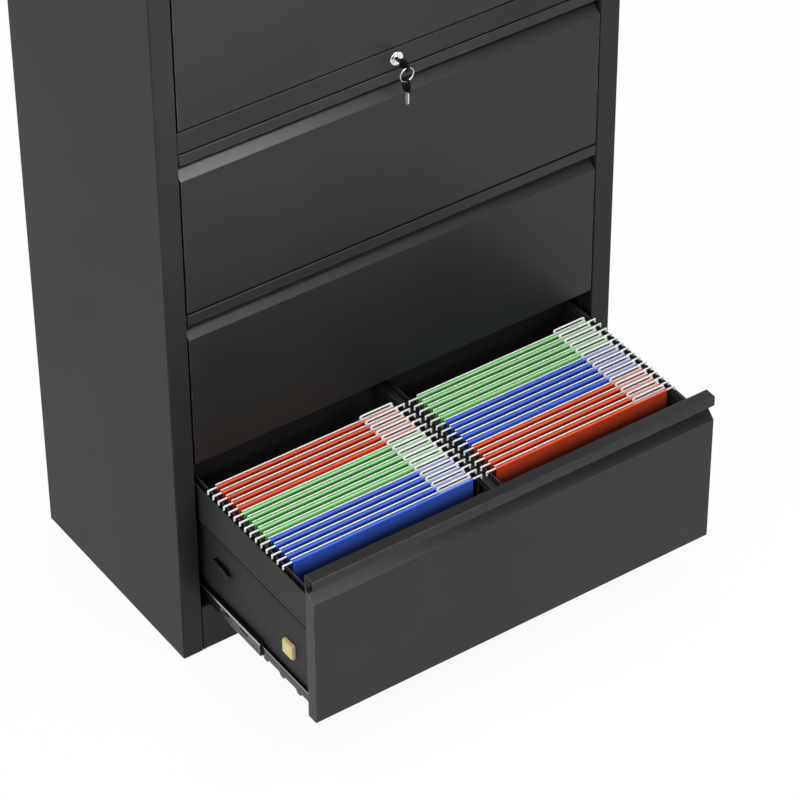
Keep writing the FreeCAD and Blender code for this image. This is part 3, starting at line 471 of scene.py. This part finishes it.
FILES_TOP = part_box("file_bars")[1].z
FINISHES = {
    "black_case": powder_coat("black case coat", (0.0175, 0.0173, 0.0172), gloss=0.44, shine=0.18),
    # The fronts' edges and lip folds get a strong painted highlight, besides wear.
    "black_front": powder_coat("black front coat", (0.0132, 0.013, 0.013), gloss=0.36, wear_and_highlight=0.9, shine=0.3,
                                width=0.002),
    "black_drawer": powder_coat("black drawer coat", (0.032, 0.0315, 0.031), gloss=0.5, shine=0.12),
    # The second colour is the painted highlight on the slide's corners.
    "slide_steel": rolled_steel("black zinc slide", (0.085, 0.085, 0.088), (0.62, 0.62, 0.63)),
    "zinc": plated_steel("bright zinc", (0.58, 0.59, 0.60), 0.28, 0.2),
    "weight": plated_steel("raw cast iron", (0.08, 0.08, 0.08), 0.55, 0.3),
    "cream_plastic": moulding("cream buffer", (0.78, 0.66, 0.32), 0.4),
    "lock_chrome": plated_steel("lock chrome", (0.80, 0.80, 0.81), 0.08, 0.08),
    "key_black": moulding("black key head", (0.004, 0.004, 0.004), 0.3, Specular_IOR_Level=0.12),
    "file_red": card("red card", (0.64, 0.065, 0.015)),
    "file_green": card("green card", (0.22, 0.60, 0.20)),
    "file_blue": card("blue card", (0.04, 0.115, 0.60)),
    "white_bar": moulding("white lacquer", (0.95, 0.95, 0.95), 0.3),
    "clear_tab": clear_film("clear tab film", (0.95, 0.95, 0.95), 0.2, 0.1),
}
KEY_STEEL = plated_steel("nickel key steel", (0.93, 0.93, 0.91), 0.28, 0.12)
PAPER = card("white paper", (0.80, 0.80, 0.78))
# Near-black card for the strips that fill the tabs' slots.
SLOT_STRIP_CARD = card("near-black slot card", (0.003, 0.003, 0.0035))
STOP_BLACK = moulding("black slide stop", (0.012, 0.012, 0.012), 0.3)
# The second colour is the painted highlight on the slide's corners.
DARK_SLIDE = rolled_steel("dark zinc slide", (0.04, 0.04, 0.042), (0.45, 0.45, 0.46))


def dress_frame():
    for part in frame["record"]["subparts"]:
        mesh = frame["nodes"][part["node"]].data
        mesh.materials.clear()
        dark = part["node"].startswith("slide_inners")
        mesh.materials.append(DARK_SLIDE if dark else FINISHES[part["material_slot"]])


# ---------------------------------------------------------------- geometry node trees
class Growth:
    """A geometry node tree with named inputs, which ends in Realize Instances and Set Material."""

    def __init__(self, name, inputs):
        self.tree = bpy.data.node_groups.new(name, "GeometryNodeTree")
        face = self.tree.interface
        self.ids = {"Geometry": face.new_socket("Geometry", in_out="INPUT",
                                                socket_type="NodeSocketGeometry").identifier}
        for label, kind in {**inputs, "Material": "Material"}.items():
            socket = face.new_socket(label, in_out="INPUT", socket_type="NodeSocket" + kind)
            self.ids[label] = socket.identifier
        face.new_socket("Geometry", in_out="OUTPUT", socket_type="NodeSocketGeometry")
        self.entry = self.tree.nodes.new("NodeGroupInput")

    def node(self, kind, settings=None, **values):
        made = self.tree.nodes.new(kind)
        for key, value in (settings or {}).items():
            setattr(made, key, value)
        for key, value in values.items():
            self.feed(made, key.replace("_", " "), value)
        return made

    def feed(self, node, key, value):
        socket = node.inputs[int(key[1:])] if key[0] == "n" and key[1:].isdigit() else node.inputs[key]
        if isinstance(value, str):
            self.tree.links.new(self.entry.outputs[value], socket)
        elif isinstance(value, bpy.types.NodeSocket):
            self.tree.links.new(value, socket)
        else:
            socket.default_value = value

    def close(self, socket):
        real = self.node("GeometryNodeRealizeInstances", Geometry=socket)
        painted = self.node("GeometryNodeSetMaterial", Geometry=real.outputs[0], Material="Material")
        self.tree.links.new(painted.outputs[0], self.tree.nodes.new("NodeGroupOutput").inputs[0])
        return self

    def grow(self, name, seed_mesh, **values):
        """Run the tree on seed_mesh with these inputs and return the plain mesh object."""
        source = bpy.data.objects.new(name + "_seed", seed_mesh)
        scene.collection.objects.link(source)
        modifier = source.modifiers.new("growth", "NODES")
        modifier.node_group = self.tree
        for key, value in values.items():
            modifier[self.ids[key.replace("_", " ")]] = value
        bpy.context.view_layer.update()
        graph = bpy.context.evaluated_depsgraph_get()
        mesh = bpy.data.meshes.new_from_object(source.evaluated_get(graph))
        mesh.name = name
        source.modifiers.clear()
        bpy.data.objects.remove(source)
        obj = bpy.data.objects.new(name, mesh)
        scene.collection.objects.link(obj)
        return obj


def row_tree():
    """Repeats a shape in a straight row."""
    g = Growth("pieces in a row", {"Count": "Int", "Step": "Vector"})
    line = g.node("GeometryNodeMeshLine", {"mode": "OFFSET"}, Count="Count", Offset="Step")
    line.inputs["Start Location"].default_value = (0, 0, 0)
    copies = g.node("GeometryNodeInstanceOnPoints", Points=line.outputs[0], Instance="Geometry")
    return g.close(copies.outputs[0])


def coil_tree():
    """Round wire wound about an axis: a key ring, or the ridge of a screw thread."""
    g = Growth("wound wire", {"Turns": "Float", "Radius": "Float", "Rise": "Float", "Wire": "Float",
                              "Place": "Vector", "Axis Turn": "Vector"})
    line = g.node("GeometryNodeCurveSpiral", Rotations="Turns", Start_Radius="Radius",
                  End_Radius="Radius", Height="Rise")
    line.inputs["Resolution"].default_value = 36
    section = g.node("GeometryNodeCurvePrimitiveCircle", Radius="Wire")
    section.inputs["Resolution"].default_value = 8
    wire = g.node("GeometryNodeCurveToMesh", Curve=line.outputs[0], Profile_Curve=section.outputs[0],
                  Fill_Caps=True)
    placed = g.node("GeometryNodeTransform", Geometry=wire.outputs[0], Translation="Place",
                    Rotation="Axis Turn")
    return g.close(placed.outputs[0])


def cross_screw_tree():
    """A column of pan-head screws with cross recesses, their heads towards +y."""
    g = Growth("cross-head screws", {"Count": "Int", "Step": "Vector", "Radius": "Float",
                                     "Height": "Float", "Place": "Vector"})
    ball = g.node("GeometryNodeMeshUVSphere", Segments=24, Rings=12, Radius="Radius")
    flat = g.node("GeometryNodeTransform", Geometry=ball.outputs[0])
    share = g.node("ShaderNodeMath", {"operation": "DIVIDE"}, n0="Height", n1="Radius")
    squash = g.node("ShaderNodeCombineXYZ", X=1.0, Y=1.0, Z=share.outputs[0])
    g.feed(flat, "Scale", squash.outputs[0])
    arms = []
    for long_side, short_side in ((1.15, 0.24), (0.24, 1.15)):
        sides = g.node("ShaderNodeCombineXYZ", Z=1.2)
        size = g.node("ShaderNodeVectorMath", {"operation": "SCALE"}, n0=sides.outputs[0], Scale="Radius")
        sides.inputs["X"].default_value, sides.inputs["Y"].default_value = long_side, short_side
        arm = g.node("GeometryNodeMeshCube", Size=size.outputs[0])
        lift = g.node("ShaderNodeCombineXYZ", Z="Height")
        raised = g.node("ShaderNodeVectorMath", {"operation": "SCALE"}, n0=lift.outputs[0], Scale=1.9)
        arms.append(g.node("GeometryNodeTransform", Geometry=arm.outputs[0],
                           Translation=raised.outputs[0]))
    cut = g.node("GeometryNodeMeshBoolean", {"operation": "DIFFERENCE"})
    g.tree.links.new(flat.outputs[0], cut.inputs[0])
    for arm in arms:
        g.tree.links.new(arm.outputs[0], cut.inputs[1])
    turned = g.node("GeometryNodeTransform", Geometry=cut.outputs[0], Rotation=(-math.pi / 2, 0.0, 0.0))
    line = g.node("GeometryNodeMeshLine", {"mode": "OFFSET"}, Count="Count", Offset="Step",
                  Start_Location="Place")
    copies = g.node("GeometryNodeInstanceOnPoints", Points=line.outputs[0], Instance=turned.outputs[0])
    return g.close(copies.outputs[0])


def empty_seed(name):
    return bpy.data.meshes.new(name)


ROW, COIL, CROSS_SCREWS = row_tree(), coil_tree(), cross_screw_tree()


# ---------------------------------------------------------------- hanging files
bars_low, bars_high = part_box("file_bars")
red_low, red_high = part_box("folders_red")
ROWS = 15
BAR_HALF = 0.8 * MM
PITCH = (bars_high.y - bars_low.y - 2 * BAR_HALF) / (ROWS - 1)
REAR_BAR = bars_high.y - BAR_HALF
BAR_TOP = bars_high.z
BAR_MIDDLE = BAR_TOP - 2.0 * MM
FILE_FOOT = red_low.z
OUTER, INNER = red_high.x, 24.0 * MM
TUBE = 2.7 * MM                 # sleeve of card round the bar
CARD = 0.5 * MM
LEAF_FRONT = 3.7 * MM           # rear leaf, behind the bar's middle
LEAF_SHEET = 1.2 * MM
LEAF_TOP = BAR_TOP + 1.5 * MM
EDGING = 2.0 * MM               # white edging down the rear leaf


def prism_mesh(name, outline, start, end, along="x"):
    """Closed outline drawn out along one axis: in y and z for x, x and z for y, x and y for z."""
    count = len(outline)
    place = {"x": lambda u, v, w: (w, u, v), "y": lambda u, v, w: (u, w, v), "z": lambda u, v, w: (u, v, w)}
    points = [place[along](u, v, w) for w in (start, end) for u, v in outline]
    sides = [(i, (i + 1) % count, (i + 1) % count + count, i + count) for i in range(count)]
    ends = [tuple(reversed(range(count))), tuple(range(count, 2 * count))]
    return outward_mesh(name, points, sides + ends)


def outward_mesh(name, points, faces):
    """A closed mesh with its faces turned outwards."""
    shape = bmesh.new()
    corners = [shape.verts.new(p) for p in points]
    for face in faces:
        shape.faces.new([corners[i] for i in face])
    bmesh.ops.recalc_face_normals(shape, faces=shape.faces)
    mesh = bpy.data.meshes.new(name)
    shape.to_mesh(mesh)
    shape.free()
    return mesh


def ring_plate_mesh(name, inner, outer, middle, half_sheet, along):
    """Flat plate with a hole and rounded edges, between two outlines of as many points."""
    place = {"x": lambda u, v, w: (w, u, v), "y": lambda u, v, w: (u, w, v)}[along]
    section = [(0.0, -0.55), (0.18, -1.0), (0.82, -1.0), (1.0, -0.55), (1.0, 0.55), (0.82, 1.0),
               (0.18, 1.0), (0.0, 0.55)]
    points = [place(a[0] + share * (b[0] - a[0]), a[1] + share * (b[1] - a[1]), middle + side * half_sheet)
              for a, b in zip(inner, outer) for share, side in section]
    rows, width = len(inner), len(section)
    faces = [(i * width + k, i * width + (k + 1) % width, (i + 1) % rows * width + (k + 1) % width,
              (i + 1) % rows * width + k) for i in range(rows) for k in range(width)]
    return outward_mesh(name, points, faces)


def arc(cy, cz, radius, start, end, steps):
    """Points of an arc in y and z, from start to end in degrees."""
    return [(cy + radius * math.cos(math.radians(start + (end - start) * i / steps)),
             cz + radius * math.sin(math.radians(start + (end - start) * i / steps)))
            for i in range(steps + 1)]


def front_leaf_outline():
    """Front leaf with its sleeve round the bar: one sheet, bowed a little by the papers."""
    outer = arc(0.0, BAR_MIDDLE, TUBE, -60, 205, 14)
    inner = arc(0.0, BAR_MIDDLE, TUBE - CARD, 205, -60, 14)
    bow, foot = -2.2 * MM, FILE_FOOT
    middle = (foot + BAR_MIDDLE) / 2
    return outer + [(bow, middle), (0.0, foot), (CARD, foot), (bow + CARD, middle)] + inner


def rear_leaf_outline():
    top = LEAF_TOP - EDGING
    return [(LEAF_FRONT, FILE_FOOT), (LEAF_FRONT, top), (LEAF_FRONT + LEAF_SHEET, top),
            (LEAF_FRONT + LEAF_SHEET, FILE_FOOT)]


def edging_outline():
    low = LEAF_TOP - EDGING
    return [(LEAF_FRONT, low), (LEAF_FRONT, LEAF_TOP), (LEAF_FRONT + LEAF_SHEET, LEAF_TOP),
            (LEAF_FRONT + LEAF_SHEET, low)]


def papers_outline():
    top, foot = BAR_TOP - 28.0 * MM, FILE_FOOT + 2.0 * MM
    return [(-1.0 * MM, foot), (-1.0 * MM, top), (LEAF_FRONT - 0.3 * MM, top),
            (LEAF_FRONT - 0.3 * MM, foot)]


def in_rows(name, outline, side, first, count, material):
    """The outline as count files of one bank, from row first, side -1 for the left bank."""
    x0, x1 = (-OUTER, -INNER) if side < 0 else (INNER, OUTER)
    start = REAR_BAR - PITCH * first
    mesh = prism_mesh(name, [(y + start, z) for y, z in outline], x0, x1)
    return ROW.grow(name, mesh, Count=count, Step=(0.0, -PITCH, 0.0), Material=material)


def merged(name, objects):
    """Join objects into one, keeping their materials."""
    bpy.ops.object.select_all(action="DESELECT")
    for obj in objects:
        obj.select_set(True)
    bpy.context.view_layer.objects.active = objects[0]
    bpy.ops.object.join()
    objects[0].name = name
    objects[0].data.name = name
    return objects[0]


def hanging_files():
    per_colour = ROWS // 3
    order = {"file_red": (0, 2), "file_green": (1, 0), "file_blue": (2, 1)}
    for slot, places in order.items():
        colour = slot.split("_")[1]
        parts = []
        for side, place in zip((-1, 1), places):
            for kind, outline in (("front leaf", front_leaf_outline()), ("rear leaf", rear_leaf_outline())):
                parts.append(in_rows(f"{colour} {kind}", outline, side, place * per_colour, per_colour,
                                     FINISHES[slot]))
        files = merged(f"hanging_files_{colour}", parts)
        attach(files, "drawer_4")
        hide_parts(f"folders_{colour}")
    for name, outline, material, slot in (
            ("file_edgings", edging_outline(), FINISHES["white_bar"], "white_bar"),
            ("file_papers", papers_outline(), PAPER, "white_bar")):
        both = [in_rows(name, outline, side, 0, ROWS, material) for side in (-1, 1)]
        piece = merged(name, both)
        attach(piece, "drawer_4")


# ---------------------------------------------------------------- label tabs of the files
tabs_low, tabs_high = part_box("file_tabs")
TAB_WIDTH = 68.0 * MM
TAB_HEIGHT = tabs_high.z - LEAF_TOP
TAB_SHEET = 1.0 * MM            # half of the frame's thickness
SLOT_INSET = 5.2 * MM           # from the tab's end to the end of its slot
SLOT_HEIGHT = 4.0 * MM
SLOT_FOOT = 2.0 * MM            # below the slot
FILM = 0.4 * MM


def stadium(x0, x1, z0, z1, steps=9):
    """Outline in x and z with half-round ends, each of steps points."""
    radius = (z1 - z0) / 2
    middle = (z0 + z1) / 2
    return arc(x1 - radius, middle, radius, 90, -90, steps - 1) + arc(x0 + radius, middle, radius, 270, 90,
                                                                      steps - 1)


def tab_pieces(x0, x1, y):
    """Frame, near-black strip in the slot and film of one tab, as meshes."""
    leaf = y + LEAF_FRONT + LEAF_SHEET / 2
    slot = (x0 + SLOT_INSET, x1 - SLOT_INSET, LEAF_TOP + SLOT_FOOT, LEAF_TOP + SLOT_FOOT + SLOT_HEIGHT)
    rim = stadium(x0, x1, LEAF_TOP, LEAF_TOP + TAB_HEIGHT)
    frame_mesh = ring_plate_mesh("tab frame", stadium(*slot), rim, leaf, TAB_SHEET, "y")
    tuck = 0.6 * MM
    # A near-black card strip fills the frame's slot, so the slot shows dark.
    strip = stadium(slot[0] - tuck, slot[1] + tuck, slot[2] - tuck, slot[3] + tuck)
    slot_strip_mesh = prism_mesh("tab slot strip", strip, leaf - 0.3 * MM, leaf + 0.3 * MM, "y")
    front = y - 1.2 * MM
    top = BAR_MIDDLE + TUBE + FILM
    skirt = [(leaf, LEAF_TOP + 0.6 * MM), (y + 2.0 * MM, top + 1.0 * MM), (y, top + 0.2 * MM),
             (front, top - 0.3 * MM)]
    under = [(u, v - FILM) for u, v in reversed(skirt)]
    film_mesh = prism_mesh("tab film", skirt + under, x0 + 2.0 * MM, x1 - 2.0 * MM)
    return frame_mesh, slot_strip_mesh, film_mesh


def label_tabs():
    spans = ((tabs_low.x, tabs_low.x + TAB_WIDTH), (tabs_high.x - TAB_WIDTH, tabs_high.x))
    banks = [tab_pieces(x0, x1, REAR_BAR) for x0, x1 in spans]
    finishes = ((FINISHES["white_bar"], "white_bar", "tab_frames"), (SLOT_STRIP_CARD, "key_black", "tab_slot_strips"),
                (FINISHES["clear_tab"], "clear_tab", "tab_films"))
    for kind, (material, slot, name) in enumerate(finishes):
        rows = [ROW.grow(name, bank[kind], Count=ROWS, Step=(0.0, -PITCH, 0.0), Material=material)
                for bank in banks]
        piece = merged(name, rows)
        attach(piece, "drawer_4")
        if kind == 0:
            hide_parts("file_tabs")


# ---------------------------------------------------------------- keys
key_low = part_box("lock_key")[0]
housing_low, housing_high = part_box("lock_housing")
LOCK_Z = (housing_low.z + housing_high.z) / 2
KEY_HOLE_Y = key_low.y + 6.0 * MM
KEY_HEAD = (17.0 * MM, 25.0 * MM)       # width and length of a key's head
KEY_TURN = math.radians(18.0)            # the spare key hangs turned about the vertical
RING_RADIUS = 12.8 * MM
RING_WIRE = 0.75 * MM


def key_head_mesh(name, hole):
    """Head of the spare key about its hole, hanging in the y-z plane."""
    steps = 32
    width, length = KEY_HEAD
    drop = length / 2 - 6.0 * MM
    inner, outer = [], []
    for i in range(steps):
        turn = 2 * math.pi * i / steps
        c, s = math.cos(turn), math.sin(turn)
        inner.append((hole[0] + 2.9 * MM * c, hole[1] + 2.9 * MM * s))
        power = 0.55
        outer.append((hole[0] + width / 2 * math.copysign(abs(c) ** power, c),
                      hole[1] - drop + length / 2 * math.copysign(abs(s) ** power, s)))
    return ring_plate_mesh(name, inner, outer, 0.0, 2.0 * MM, "x")


def key_blade_mesh(name, y, top, length):
    """Blade with cuts down one edge and a point at its tip."""
    half = 3.6 * MM
    cuts = (1.2, 2.2, 0.8, 1.8, 1.2)
    step = (length - half) / (len(cuts) + 1)
    tip = top - length
    edge = [(y - half, top), (y - half, tip + half), (y, tip), (y + half * 0.4, tip + half * 0.7)]
    for i, cut in reversed(list(enumerate(cuts))):
        z = top - step * (i + 1)
        bottom = y + half - cut * MM
        edge += [(bottom, z - step * 0.25), (bottom, z + step * 0.1), (y + half, z + step * 0.45)]
    edge.append((y + half, top))
    return prism_mesh(name, edge, -1.0 * MM, 1.0 * MM)


def made(name, mesh, material, body, slot):
    mesh.materials.append(material)
    obj = bpy.data.objects.new(name, mesh)
    scene.collection.objects.link(obj)
    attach(obj, body)
    return obj


def softened(obj, width, segments=2):
    """Round the edges of a piece a little."""
    bevel = obj.modifiers.new("soft edges", "BEVEL")
    bevel.width = width
    bevel.segments = segments
    bevel.limit_method = "ANGLE"
    return obj


def hanging_keys():
    """Split ring through the key in the lock, with a spare key hanging from it."""
    top = LOCK_Z - 2.0 * MM
    ring = COIL.grow("key_ring", empty_seed("key_ring"), Turns=2.0, Radius=RING_RADIUS,
                     Rise=2 * RING_WIRE, Wire=RING_WIRE, Axis_Turn=(math.pi / 2, 0.0, 0.0),
                     Place=(0.0, KEY_HOLE_Y + RING_WIRE, top - RING_RADIUS), Material=KEY_STEEL)
    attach(ring, "lock_plug")
    hole_z = top - 2 * RING_RADIUS - 2.0 * MM
    about_hole = Matrix.Translation((0, KEY_HOLE_Y, 0)) @ Matrix.Rotation(KEY_TURN, 4, "Z")
    about_hole = about_hole @ Matrix.Translation((0, -KEY_HOLE_Y, 0))
    head_mesh = key_head_mesh("spare key head", (KEY_HOLE_Y, hole_z))
    blade_mesh = key_blade_mesh("spare key blade", KEY_HOLE_Y, hole_z - 15.0 * MM, 29.0 * MM)
    for mesh in (head_mesh, blade_mesh):
        mesh.transform(about_hole)
    made("spare_key_head", head_mesh, FINISHES["key_black"], "lock_plug", "key_black")
    blade = made("spare_key_blade", blade_mesh, KEY_STEEL, "lock_plug", "lock_chrome")
    softened(blade, 0.25 * MM)


# ---------------------------------------------------------------- screws, feet and slide fittings
def back_screws():
    """Cross-head screws down both edges of the back."""
    low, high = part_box("case_screws")
    radius = 4.0 * MM
    rows = 8
    step = (high.z - low.z - 2 * radius) / (rows - 1)
    columns = [CROSS_SCREWS.grow("back_screws", empty_seed("back_screws"), Count=rows,
                                 Step=(0.0, 0.0, step), Radius=radius, Height=1.8 * MM,
                                 Place=(x, high.y - 1.8 * MM, low.z + radius), Material=FINISHES["zinc"])
               for x in (low.x + radius, high.x - radius)]
    screws = merged("back_screws", columns)
    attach(screws, "cabinet")
    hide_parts("case_screws")


def turned_mesh(name, profile, steps=24):
    """A turned piece about the z axis, from its profile in radius and height."""
    points = [(r * math.cos(2 * math.pi * i / steps), r * math.sin(2 * math.pi * i / steps), z)
              for r, z in profile for i in range(steps)]
    rows = len(profile)
    faces = [(k * steps + i, k * steps + (i + 1) % steps, (k + 1) * steps + (i + 1) % steps,
              (k + 1) * steps + i) for k in range(rows - 1) for i in range(steps)]
    faces += [tuple(range(steps)), tuple(range((rows - 1) * steps, rows * steps))]
    return outward_mesh(name, points, faces)


def moved_mesh(mesh, x, y, z=0.0):
    mesh.transform(Matrix.Translation((x, y, z)))
    return mesh


def levelling_feet():
    """Foot at each corner: pad with rounded edges, threaded stud and lock nut."""
    low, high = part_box("levelling_feet")
    pad = 16.0 * MM
    thick = 3.0 * MM
    stud = 4.5 * MM
    nut_foot = low.z + 8.0 * MM
    nut_height = 6.0 * MM
    nut_corner = 8.0 * MM / math.cos(math.pi / 6)
    step = (0.0, high.y - low.y - 2 * pad, 0.0)
    pieces = []
    for x in (low.x + pad, high.x - pad):
        front = low.y + pad
        shape = [(pad - 0.8 * MM, low.z), (pad, low.z + 0.8 * MM), (pad, low.z + 2.0 * MM),
                 (pad - 1.0 * MM, low.z + thick), (stud, low.z + thick), (stud, high.z - 1.0 * MM),
                 (stud - 1.0 * MM, high.z)]
        turned = moved_mesh(turned_mesh("foot", shape), x, front)
        corners = [(nut_corner * math.cos(math.pi / 3 * i), nut_corner * math.sin(math.pi / 3 * i))
                   for i in range(6)]
        nut = moved_mesh(prism_mesh("nut", corners, nut_foot, nut_foot + nut_height, "z"), x, front)
        coil = COIL.grow("thread", empty_seed("thread"), Turns=14.0, Radius=stud, Rise=21.0 * MM,
                         Wire=0.5 * MM, Axis_Turn=(0.0, 0.0, 0.0),
                         Place=(x, front, low.z + 18.0 * MM), Material=FINISHES["zinc"])
        thread = coil.data
        bpy.data.objects.remove(coil)
        for mesh in (turned, nut, thread):
            pieces.append(ROW.grow("foot", mesh, Count=2, Step=step, Material=FINISHES["zinc"]))
    feet = merged("feet", pieces)
    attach(feet, "cabinet")
    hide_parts("levelling_feet")


NOSE_INSET = 1.6 * MM           # the stop's nose ends this far below the top of its slide
NOSE_WIDTH = 8.2 * MM
NOSE_PROUD = 0.6 * MM
NOSE_SKIN = 0.1 * MM            # the nose's back, in front of the stop's face
NOSE_SIDE = 0.3 * MM            # the nose's outer side, inside the web's face
RIVET_PLACE = 118.0 * MM        # behind the stop
RIVET_PITCH = 200.0 * MM
RIVET_RISE = 4.9 * MM           # above the middle of the slide


def slide_fittings():
    """Black nose of each intermediate slide's stop and the rivets through its web."""
    for n in range(1, 5):
        low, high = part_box(f"slide_mids_{n}")
        middle = (low.z + high.z) / 2
        reach = (high.z - low.z) / 2 - NOSE_INSET
        noses, rivets = [], []
        for side in (-1, 1):
            web = side * high.x
            outer = web - side * NOSE_SIDE
            inner = outer - side * NOSE_WIDTH
            plan = [(outer, low.y - NOSE_PROUD), (inner, low.y - NOSE_PROUD),
                    (inner, low.y - NOSE_SKIN), (outer, low.y - NOSE_SKIN)]
            noses.append(ROW.grow("nose", prism_mesh("nose", plan, middle - reach, middle + reach, "z"),
                                  Count=1, Step=(0.0, 0.0, 0.0), Material=STOP_BLACK))
            head = [(2.1 * MM, 0.0), (2.1 * MM, 0.15 * MM), (1.5 * MM, 0.35 * MM), (0.5 * MM, 0.42 * MM)]
            mesh = turned_mesh("rivet", head, 16)
            mesh.transform(Matrix.Rotation(side * math.pi / 2, 4, "Y"))
            moved_mesh(mesh, web, low.y + RIVET_PLACE, middle + RIVET_RISE)
            rivets.append(ROW.grow("rivet", mesh, Count=2, Step=(0.0, RIVET_PITCH, 0.0),
                                   Material=FINISHES["zinc"]))
        kinds = (("stop_noses", noses, "key_black"), ("slide_rivets", rivets, "zinc"))
        for name, pieces, slot in kinds:
            piece = merged(f"{name}_{n}", pieces)
            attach(piece, f"slide_mid_{n}")


camera()
studio_world()
studio_floor()
area_lamp("overhead softbox", (0.2, 0.2, 3.6), (3.2, 3.2), 112.0, (0.2, 0.2, 0.0))
area_lamp("side softbox", (-3.0, -2.0, 3.2), (2.0, 2.0), 45.0, (0.0, -0.2, 0.6))
area_lamp("front softbox", (-0.02, -0.63, 1.73), (0.4, 0.14), 7.6, (-0.25, 0.0, 1.05))
area_lamp("low softbox", (-0.02, -1.04, 1.02), (0.3, 0.12), 2.5, (-0.35, -0.4, 0.38))
dress_frame()
hanging_files()
label_tabs()
hanging_keys()
back_screws()
levelling_feet()
slide_fittings()
